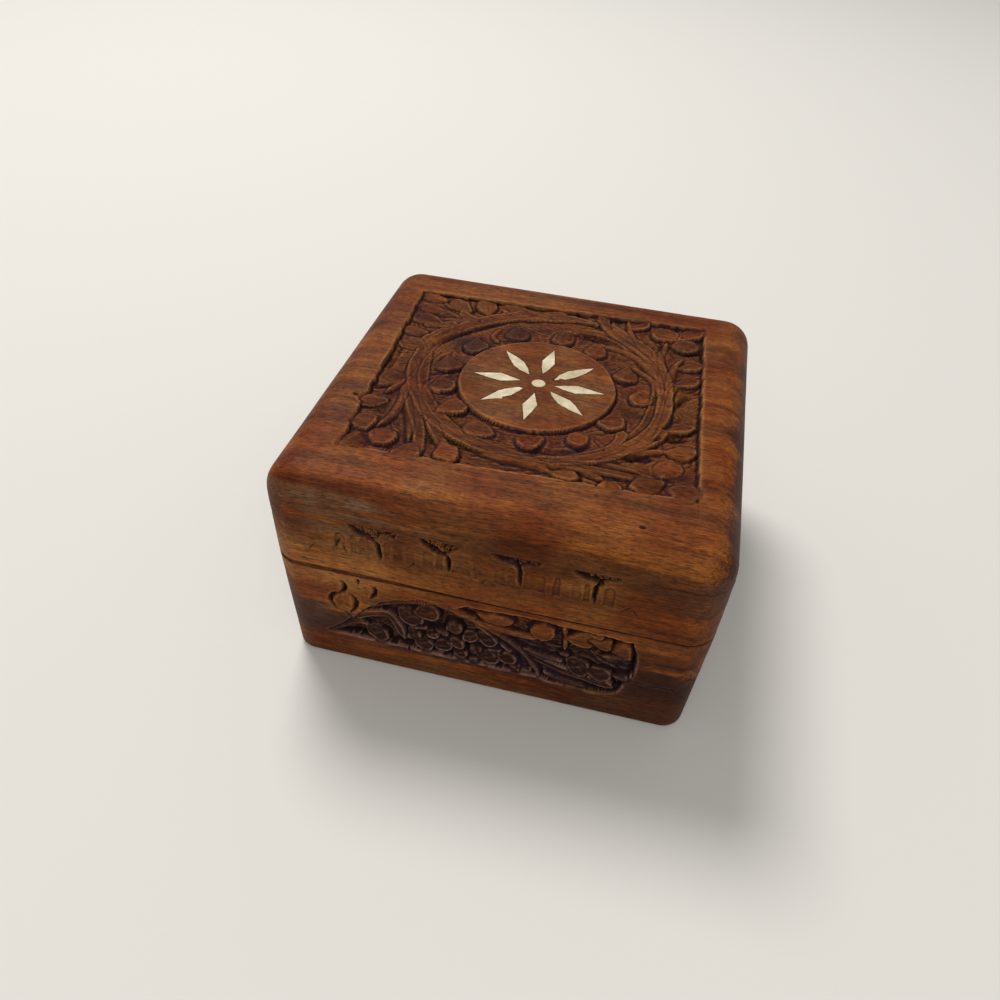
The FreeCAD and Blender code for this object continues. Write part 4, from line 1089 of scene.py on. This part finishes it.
    gouged = add_node(tree, "ShaderNodeAttribute", {"attribute_name": "raw"})
    thirsty = add_node(tree, "ShaderNodeMix", {"data_type": "RGBA", "blend_type": "MULTIPLY"}, {
        "Factor": gouged.outputs["Fac"], "A": mottled.outputs["Vector"],
        "B": linear("#d3c8c6")})
    # Stain in the cuts together with painted shade in creases, under the lips and in the seam, and a
    # painted shadow from behind and to the left.
    cuts = add_node(tree, "ShaderNodeAttribute", {"attribute_name": "stain_and_shade"})
    patchy = add_node(tree, "ShaderNodeMapRange", inputs={
        "Value": breakup.outputs["Fac"], "From Min": 0.3, "From Max": 0.7, "To Min": 0.55,
        "To Max": 1.25})
    dark = add_node(tree, "ShaderNodeMath", {"operation": "MULTIPLY", "use_clamp": True}, {
        0: cuts.outputs["Fac"], 1: patchy.outputs["Result"]})
    # The stain's colour, turned purple in cloudy patches as painted shade colour.
    stain_and_shade_colour = add_node(tree, "ShaderNodeMix", {"data_type": "RGBA"}, {
        "Factor": cloudy.outputs["Result"], "A": look.stain_and_shade, "B": linear("#281a24")})
    stained_and_shaded = add_node(tree, "ShaderNodeMix", {"data_type": "RGBA"}, {
        "Factor": dark.outputs["Value"], "A": thirsty.outputs["Result"],
        "B": stain_and_shade_colour.outputs["Result"]})
    # Wear on the ridges together with a painted highlight, in the rubbed colour.
    ridges = add_node(tree, "ShaderNodeAttribute", {"attribute_name": "wear_and_highlight"})
    rub = add_node(tree, "ShaderNodeMath", {"operation": "MULTIPLY", "use_clamp": True}, {
        0: ridges.outputs["Fac"], 1: 0.7})
    worn = add_node(tree, "ShaderNodeMix", {"data_type": "RGBA"}, {
        "Factor": rub.outputs["Value"], "A": stained_and_shaded.outputs["Result"],
        "B": rubbed.outputs["Vector"]})
    tree.links.new(worn.outputs["Result"], shader.inputs["Base Color"])

    sheen = add_node(tree, "ShaderNodeMapRange", inputs={
        "Value": streaks.outputs["Fac"], "From Min": 0.3, "From Max": 0.7,
        "To Min": 0.4, "To Max": 0.56})
    dull = add_node(tree, "ShaderNodeMath", {"operation": "MULTIPLY_ADD"}, {
        0: gouged.outputs["Fac"], 1: 0.12, 2: sheen.outputs["Result"]})
    matt = add_node(tree, "ShaderNodeMath", {"operation": "MULTIPLY_ADD"}, {
        0: cuts.outputs["Fac"], 1: 0.25, 2: dull.outputs["Value"]})
    tree.links.new(matt.outputs["Value"], shader.inputs["Roughness"])
    shader.inputs["IOR"].default_value = 1.45
    shader.inputs["Specular IOR Level"].default_value = 0.09

    torn = add_node(tree, "ShaderNodeTexNoise", inputs={
        "Vector": place, "Scale": per_mm(0.5), "Detail": 3.0, "Roughness": 0.7})
    rough = add_node(tree, "ShaderNodeMath", {"operation": "MULTIPLY"}, {
        0: torn.outputs["Fac"], 1: cuts.outputs["Fac"]})
    fibres = add_node(tree, "ShaderNodeMath", {"operation": "MULTIPLY_ADD"}, {
        0: rough.outputs["Value"], 1: 2.4, 2: grainy.outputs["Value"]})
    sunk = add_node(tree, "ShaderNodeMath", {"operation": "MULTIPLY_ADD"}, {
        0: open_pore.outputs["Result"], 1: -1.5, 2: fibres.outputs["Value"]})
    bump = add_node(tree, "ShaderNodeBump", inputs={
        "Height": sunk.outputs["Value"], "Strength": 0.8, "Distance": 0.1 * MM})
    tree.links.new(bump.outputs["Normal"], shader.inputs["Normal"])
    return material


def tinted(tree, place, streaky, body, rubbed):
    """Tints the wood and its rubbed ridges with their painted highlight where this box's boards differ.
    """
    for spot in WOOD_SPOTS:
        offset = add_node(tree, "ShaderNodeMapping", inputs={
            "Vector": place, "Scale": [1.0 / (r * MM) for r in spot.reach],
            "Location": [-c / r for c, r in zip(spot.centre, spot.reach)]})
        away = add_node(tree, "ShaderNodeVectorMath", {"operation": "LENGTH"}, {
            0: offset.outputs["Vector"]})
        ragged = add_node(tree, "ShaderNodeMath", {"operation": "MULTIPLY_ADD"}, {
            0: streaky, 1: 1.4, 2: away.outputs["Value"]})
        share = add_node(tree, "ShaderNodeMapRange", {"interpolation_type": "SMOOTHSTEP"}, {
            "Value": ragged.outputs["Value"], "From Min": 1.42, "From Max": 1.88,
            "To Min": spot.strength, "To Max": 0.0})
        body, rubbed = (add_node(tree, "ShaderNodeMix", {"data_type": "RGBA"}, {
            "Factor": share.outputs["Result"], "A": colour,
            "B": linear(tint)}).outputs["Result"]
            for colour, tint in ((body, spot.tint), (rubbed, spot.rubbed)))
    return body, rubbed


def bone():
    """Cream bone, sawn and let in flush: fine specks, faint yellow clouds, a dull polish."""
    material, tree, shader = new_material("polished_bone")
    place = add_node(tree, "ShaderNodeTexCoord").outputs["Object"]
    cloud = add_node(tree, "ShaderNodeTexNoise", inputs={
        "Vector": place, "Scale": per_mm(3.0), "Detail": 4.0, "Roughness": 0.6})
    cream = add_node(tree, "ShaderNodeValToRGB", inputs={"Fac": cloud.outputs["Fac"]}, stops=(
        (0.3, linear("#a8956f")), (0.5, settings().bone), (0.7, linear("#d3c8ac"))))
    specks = add_node(tree, "ShaderNodeTexNoise", inputs={
        "Vector": place, "Scale": per_mm(0.45), "Detail": 2.0, "Roughness": 0.5})
    spot = add_node(tree, "ShaderNodeMapRange", inputs={
        "Value": specks.outputs["Fac"], "From Min": 0.66, "From Max": 0.76, "To Max": 0.7})
    mixed = add_node(tree, "ShaderNodeMix", {"data_type": "RGBA"}, {
        "Factor": spot.outputs["Result"], "A": cream.outputs["Color"], "B": linear("#6a5332")})
    tree.links.new(mixed.outputs["Result"], shader.inputs["Base Color"])
    shader.inputs["Roughness"].default_value = 0.42
    shader.inputs["IOR"].default_value = 1.54
    bump = add_node(tree, "ShaderNodeBump", inputs={
        "Height": specks.outputs["Fac"], "Strength": 0.3, "Distance": 0.03 * MM})
    tree.links.new(bump.outputs["Normal"], shader.inputs["Normal"])
    return material


def metal(name, bright, tarnish, roughness):
    """Drawn and stamped metal: fine lines from the die and dull patches of tarnish."""
    material, tree, shader = new_material(name)
    place = add_node(tree, "ShaderNodeTexCoord").outputs["Object"]
    patches = add_node(tree, "ShaderNodeTexNoise", inputs={
        "Vector": place, "Scale": per_mm(2.4), "Detail": 4.0, "Roughness": 0.6})
    colour = add_node(tree, "ShaderNodeValToRGB", inputs={"Fac": patches.outputs["Fac"]},
                      stops=((0.35, bright), (0.7, tarnish)))
    tree.links.new(colour.outputs["Color"], shader.inputs["Base Color"])
    lines = add_node(tree, "ShaderNodeMapping", inputs={
        "Vector": place, "Scale": (0.08, 1.0, 1.0)})
    drawn = add_node(tree, "ShaderNodeTexNoise", inputs={
        "Vector": lines.outputs["Vector"], "Scale": per_mm(0.16), "Detail": 2.0})
    dull = add_node(tree, "ShaderNodeMapRange", inputs={
        "Value": patches.outputs["Fac"], "To Min": roughness - 0.08, "To Max": roughness + 0.2})
    tree.links.new(dull.outputs["Result"], shader.inputs["Roughness"])
    shader.inputs["Metallic"].default_value = 1.0
    bump = add_node(tree, "ShaderNodeBump", inputs={
        "Height": drawn.outputs["Fac"], "Strength": 0.4, "Distance": 0.02 * MM})
    tree.links.new(bump.outputs["Normal"], shader.inputs["Normal"])
    return material


def wood(grain):
    """Wood of the boards whose grain runs along X or along Y."""
    name = {"X": "waxed_sheesham_across", "Y": "waxed_sheesham_front_to_back"}[grain]
    return bpy.data.materials.get(name) or sheesham(name, grain)


# Add-on: sizes and colours a user would change, an operator for each group of pieces.

class TrinketBoxSettings(bpy.types.PropertyGroup):
    carving_pitch: bpy.props.FloatProperty(
        name="Top pitch", description="Spacing of the points of the carved top",
        default=0.3 * MM, min=0.1 * MM, max=2.0 * MM, unit="LENGTH", precision=5)
    wall_pitch: bpy.props.FloatProperty(
        name="Wall pitch", description="Spacing of the points of a carved wall",
        default=0.22 * MM, min=0.1 * MM, max=2.0 * MM, unit="LENGTH", precision=5)
    golden_wood: bpy.props.FloatVectorProperty(
        name="Golden wood", description="Lightest bands of the wood", subtype="COLOR", size=4,
        default=linear("#9a6224"), min=0.0, max=1.0)
    red_wood: bpy.props.FloatVectorProperty(
        name="Red wood", description="Middle bands of the wood", subtype="COLOR", size=4,
        default=linear("#80491c"), min=0.0, max=1.0)
    brown_wood: bpy.props.FloatVectorProperty(
        name="Brown wood", description="Darker bands of the wood", subtype="COLOR", size=4,
        default=linear("#683818"), min=0.0, max=1.0)
    dark_wood: bpy.props.FloatVectorProperty(
        name="Dark wood", description="Darkest bands of the wood", subtype="COLOR", size=4,
        default=linear("#3c1f10"), min=0.0, max=1.0)
    # Colour of ridges worn pale by handling, which also carries their painted highlight.
    rubbed_and_lit_wood: bpy.props.FloatVectorProperty(
        name="Rubbed wood", description="Ridges worn pale by handling", subtype="COLOR", size=4,
        default=linear("#9c6a40"), min=0.0, max=1.0)
    # Colour of the stain in the cuts, which also carries the painted shade and painted shadow there.
    stain_and_shade: bpy.props.FloatVectorProperty(
        name="Stain", description="Stain that lies in the cuts", subtype="COLOR", size=4,
        default=linear("#160a06"), min=0.0, max=1.0)
    bone: bpy.props.FloatVectorProperty(
        name="Bone", description="Inlay of the star", subtype="COLOR", size=4,
        default=linear("#beae8c"), min=0.0, max=1.0)
    brass: bpy.props.FloatVectorProperty(
        name="Brass", description="Hinges and screws", subtype="COLOR", size=4,
        default=linear("#c9a565"), min=0.0, max=1.0)
    floor_colour: bpy.props.FloatVectorProperty(
        name="Floor", description="Colour of the floor", subtype="COLOR", size=4,
        default=linear("#d2cec6"), min=0.0, max=1.0)
    window_power: bpy.props.FloatProperty(
        name="Window lamp", description="Power of the lamp behind", default=18.0, min=0.0,
        max=200.0, unit="POWER")
    fill_power: bpy.props.FloatProperty(
        name="Fill lamp", description="Power of the lamp in front", default=7.5, min=0.0,
        max=200.0, unit="POWER")


def settings():
    return bpy.context.scene.trinket_box


class TRINKETBOX_OT_carve_top(bpy.types.Operator):
    """Carve the lid's top board: vine, buds, corner flowers and medallion"""
    bl_idname = "trinket_box.carve_top"
    bl_label = "Carve Top Board"

    def execute(self, context):
        points, faces, layers = carved_board(carve_top, settings().carving_pitch / MM)
        new_piece("carved_top_board", points, faces, wood("X"), "lid",
                  ("lid_top_board",), layers)
        return {"FINISHED"}


class TRINKETBOX_OT_carve_walls(bpy.types.Operator):
    """Carve the front and the two sides of the lid and the base"""
    bl_idname = "trinket_box.carve_walls"
    bl_label = "Carve Front and Sides"

    def execute(self, context):
        fine = settings().wall_pitch / MM
        lid = (RAIL_LOW.z, RAIL_HIGH.z)
        base = (WALL_LOW.z, WALL_HIGH.z)
        foot = SEAM_INSET + BASE_LEAN * (BASE_RIM - WALL_LOW.z)
        walls = (
            ("carved_lid_front", "lid", "lid_front_rail", 0.0, (0.0, SEAM_CLOSING)),
            ("carved_lid_right", "lid", "lid_right_rail", 90.0, (SEAM_CLOSING, 0.0)),
            ("carved_lid_left", "lid", "lid_left_rail", -90.0, (0.0, 0.0)),
            ("carved_base_front", "base", "base_front_wall", 0.0, (0.0, 0.0)),
            ("carved_base_right", "base", "base_right_wall", 90.0, (0.0, 0.0)),
            ("carved_base_left", "base", "base_left_wall", -90.0, (0.0, 0.0)),
        )
        for name, body, node, turn, closing in walls:
            low, high = lid if body == "lid" else base
            carve = carve_row if body == "lid" else carve_panel
            front = turn == 0.0
            pitch = fine if front else fine * 1.3
            contour = wall_contour(pitch) if front else straight_contour(pitch)
            insets = (SEAM_INSET, 0.0) if body == "lid" else (foot, SEAM_INSET)
            arris = (0.2, 0.0) if body == "lid" else (0.0, 0.2)
            points, faces, layers = carved_wall(carve, contour, low, high, pitch, insets, turn,
                                                arris, closing)
            new_piece(name, points, faces, wood("X" if front else "Y"), body,
                      (node,), layers)
        return {"FINISHED"}


class TRINKETBOX_OT_finish_plain_boards(bpy.types.Operator):
    """Shape the base board and finish the plain boards at the back"""
    bl_idname = "trinket_box.finish_plain_boards"
    bl_label = "Finish Plain Boards"

    def execute(self, context):
        points, faces = foot_board()
        new_piece("base_foot_board", points, faces, wood("X"), "base",
                  ("base_board",))
        for node in ("base_back_wall", "lid_back_rail"):
            finish(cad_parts[node], wood("X"), 0.25)
        return {"FINISHED"}


class TRINKETBOX_OT_fit_inlay(bpy.types.Operator):
    """Finish the star's petals and dot"""
    bl_idname = "trinket_box.fit_inlay"
    bl_label = "Fit Inlay"

    def execute(self, context):
        material = bone()
        pieces = [(f"inlay_petal_{number}", corners, angle)
                  for number, (angle, corners) in enumerate(STAR.items(), start=1)]
        dot = tuple((1.7 * math.cos(t), 1.62 * math.sin(t))
                    for t in np.radians(range(0, 360, 20)))
        pieces.append(("inlay_dot", dot, 12))
        for node, corners, angle in pieces:
            points, faces = inlay_mesh(corners, math.radians(angle), 300 + angle)
            new_piece(node.replace("inlay", "bone"), points, faces, material, "lid",
                      (node,), blend_angle=20)
        return {"FINISHED"}


class TRINKETBOX_OT_finish_hinges(bpy.types.Operator):
    """Finish the brass hinges, their pins and screws"""
    bl_idname = "trinket_box.finish_hinges"
    bl_label = "Finish Hinges"

    def execute(self, context):
        brass = metal("stamped_brass", settings().brass, linear("#8f6f3c"), 0.34)
        steel = metal("drawn_steel", linear("#a8a8a6"), linear("#74716d"), 0.3)
        draw = np.random.default_rng(12)
        for name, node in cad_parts.items():
            if name.endswith("_screws"):
                low, high = (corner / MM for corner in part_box(name))
                body, face, way = ("base", high.z, -1) if "_base_" in name else ("lid", low.z, 1)
                points, faces = [], []
                for side in (-1, 1):
                    place = ((low.x + high.x + side * SCREW_SPACING) / 2, (low.y + high.y) / 2)
                    screw, sides = slotted_screw(*place, face, way, draw.uniform(0.0, math.pi))
                    faces += [[corner + len(screw) * (side > 0) for corner in corners]
                              for corners in sides]
                    points.append(screw)
                new_piece("slotted_" + name, np.vstack(points), faces, brass, body,
                          (name,), blend_angle=20)
            elif "_hinge_" in name:
                finish(node, steel if name.endswith("_pin") else brass, 0.1)
        return {"FINISHED"}


class TRINKETBOX_OT_set_stage(bpy.types.Operator):
    """Lay the floor and set the lights and the camera"""
    bl_idname = "trinket_box.set_stage"
    bl_label = "Set Stage"

    def execute(self, context):
        lay_floor()
        hang_lights()
        aim_camera()
        return {"FINISHED"}


def finish(node, material, rounding):
    """Gives a CAD piece its material and takes the sharpness off its edges."""
    node.data.materials.clear()
    node.data.materials.append(material)
    bevel = node.modifiers.new("worn edges", "BEVEL")
    bevel.width = rounding * MM
    bevel.segments = 2
    bevel.limit_method = "ANGLE"
    bevel.angle_limit = math.radians(40)
    bevel.harden_normals = True


def lay_floor():
    half = 3.0
    mesh = bpy.data.meshes.new("floor")
    mesh.from_pydata([(-half, -half, 0), (half, -half, 0), (half, half, 0), (-half, half, 0)],
                     [], [(0, 1, 2, 3)])
    material, tree, shader = new_material("matt_painted_board")
    shader.inputs["Base Color"].default_value = settings().floor_colour
    shader.inputs["Roughness"].default_value = 0.85
    mesh.materials.append(material)
    floor = bpy.data.objects.new("floor", mesh)
    bpy.context.scene.collection.objects.link(floor)


def hang_lights():
    """A soft lamp behind and to the left, a weaker one in front, and a pale room."""
    lamps = (("window_lamp", (-0.5, 0.62, 1.3), 0.6, settings().window_power),
             ("fill_lamp", (0.20, -1.05, 1.00), 1.2, settings().fill_power))
    aim = Vector((0.0, 0.0, 0.03))
    for name, place, size, power in lamps:
        light = bpy.data.lights.new(name, "AREA")
        light.shape = "DISK"
        light.size = size
        light.energy = power
        lamp = bpy.data.objects.new(name, light)
        lamp.location = place
        lamp.rotation_euler = (aim - Vector(place)).to_track_quat("-Z", "Y").to_euler()
        bpy.context.scene.collection.objects.link(lamp)
    world = bpy.data.worlds.new("pale_room")
    bpy.context.scene.world = world
    world.use_nodes = True
    sky = world.node_tree.nodes["Background"]
    sky.inputs["Color"].default_value = linear("#f2f3f5")
    sky.inputs["Strength"].default_value = 0.42


CAMERA_PLACE = (26.33, -171.37, 173.31)
CAMERA_TARGET = (-7.81, 0.0, 18.34)
CAMERA_ROLL = 3.454
LENS = 30.37


def aim_camera():
    camera = bpy.data.cameras.new("camera")
    camera.sensor_fit = "HORIZONTAL"
    camera.sensor_width = 36.0
    camera.lens = LENS
    camera.clip_start = 0.01
    holder = bpy.data.objects.new("camera", camera)
    place = Vector(CAMERA_PLACE) * MM
    look = (Vector(CAMERA_TARGET) * MM - place).to_track_quat("-Z", "Y")
    roll = Matrix.Rotation(math.radians(CAMERA_ROLL), 4, "Z")
    holder.matrix_world = Matrix.Translation(place) @ look.to_matrix().to_4x4() @ roll
    bpy.context.scene.collection.objects.link(holder)
    bpy.context.scene.camera = holder
    bpy.context.scene.view_settings.view_transform = "Standard"


OPERATORS = (
    TRINKETBOX_OT_carve_top,
    TRINKETBOX_OT_carve_walls,
    TRINKETBOX_OT_finish_plain_boards,
    TRINKETBOX_OT_fit_inlay,
    TRINKETBOX_OT_finish_hinges,
    TRINKETBOX_OT_set_stage,
)


class TRINKETBOX_PT_panel(bpy.types.Panel):
    """Lists the box's operators and settings"""
    bl_label = "Trinket Box"
    bl_idname = "TRINKETBOX_PT_panel"
    bl_space_type = "VIEW_3D"
    bl_region_type = "UI"
    bl_category = "Trinket Box"

    def draw(self, context):
        for name in TrinketBoxSettings.__annotations__:
            self.layout.prop(context.scene.trinket_box, name)
        for operator in OPERATORS:
            self.layout.operator(operator.bl_idname)


CLASSES = (TrinketBoxSettings, *OPERATORS, TRINKETBOX_PT_panel)


def register():
    for cls in CLASSES:
        bpy.utils.register_class(cls)
    bpy.types.Scene.trinket_box = bpy.props.PointerProperty(type=TrinketBoxSettings)


def unregister():
    del bpy.types.Scene.trinket_box
    for cls in reversed(CLASSES):
        bpy.utils.unregister_class(cls)


def main():
    register()
    for operator in OPERATORS:
        group, name = operator.bl_idname.split(".")
        getattr(getattr(bpy.ops, group), name)()


if __name__ == "__main__":
    main()
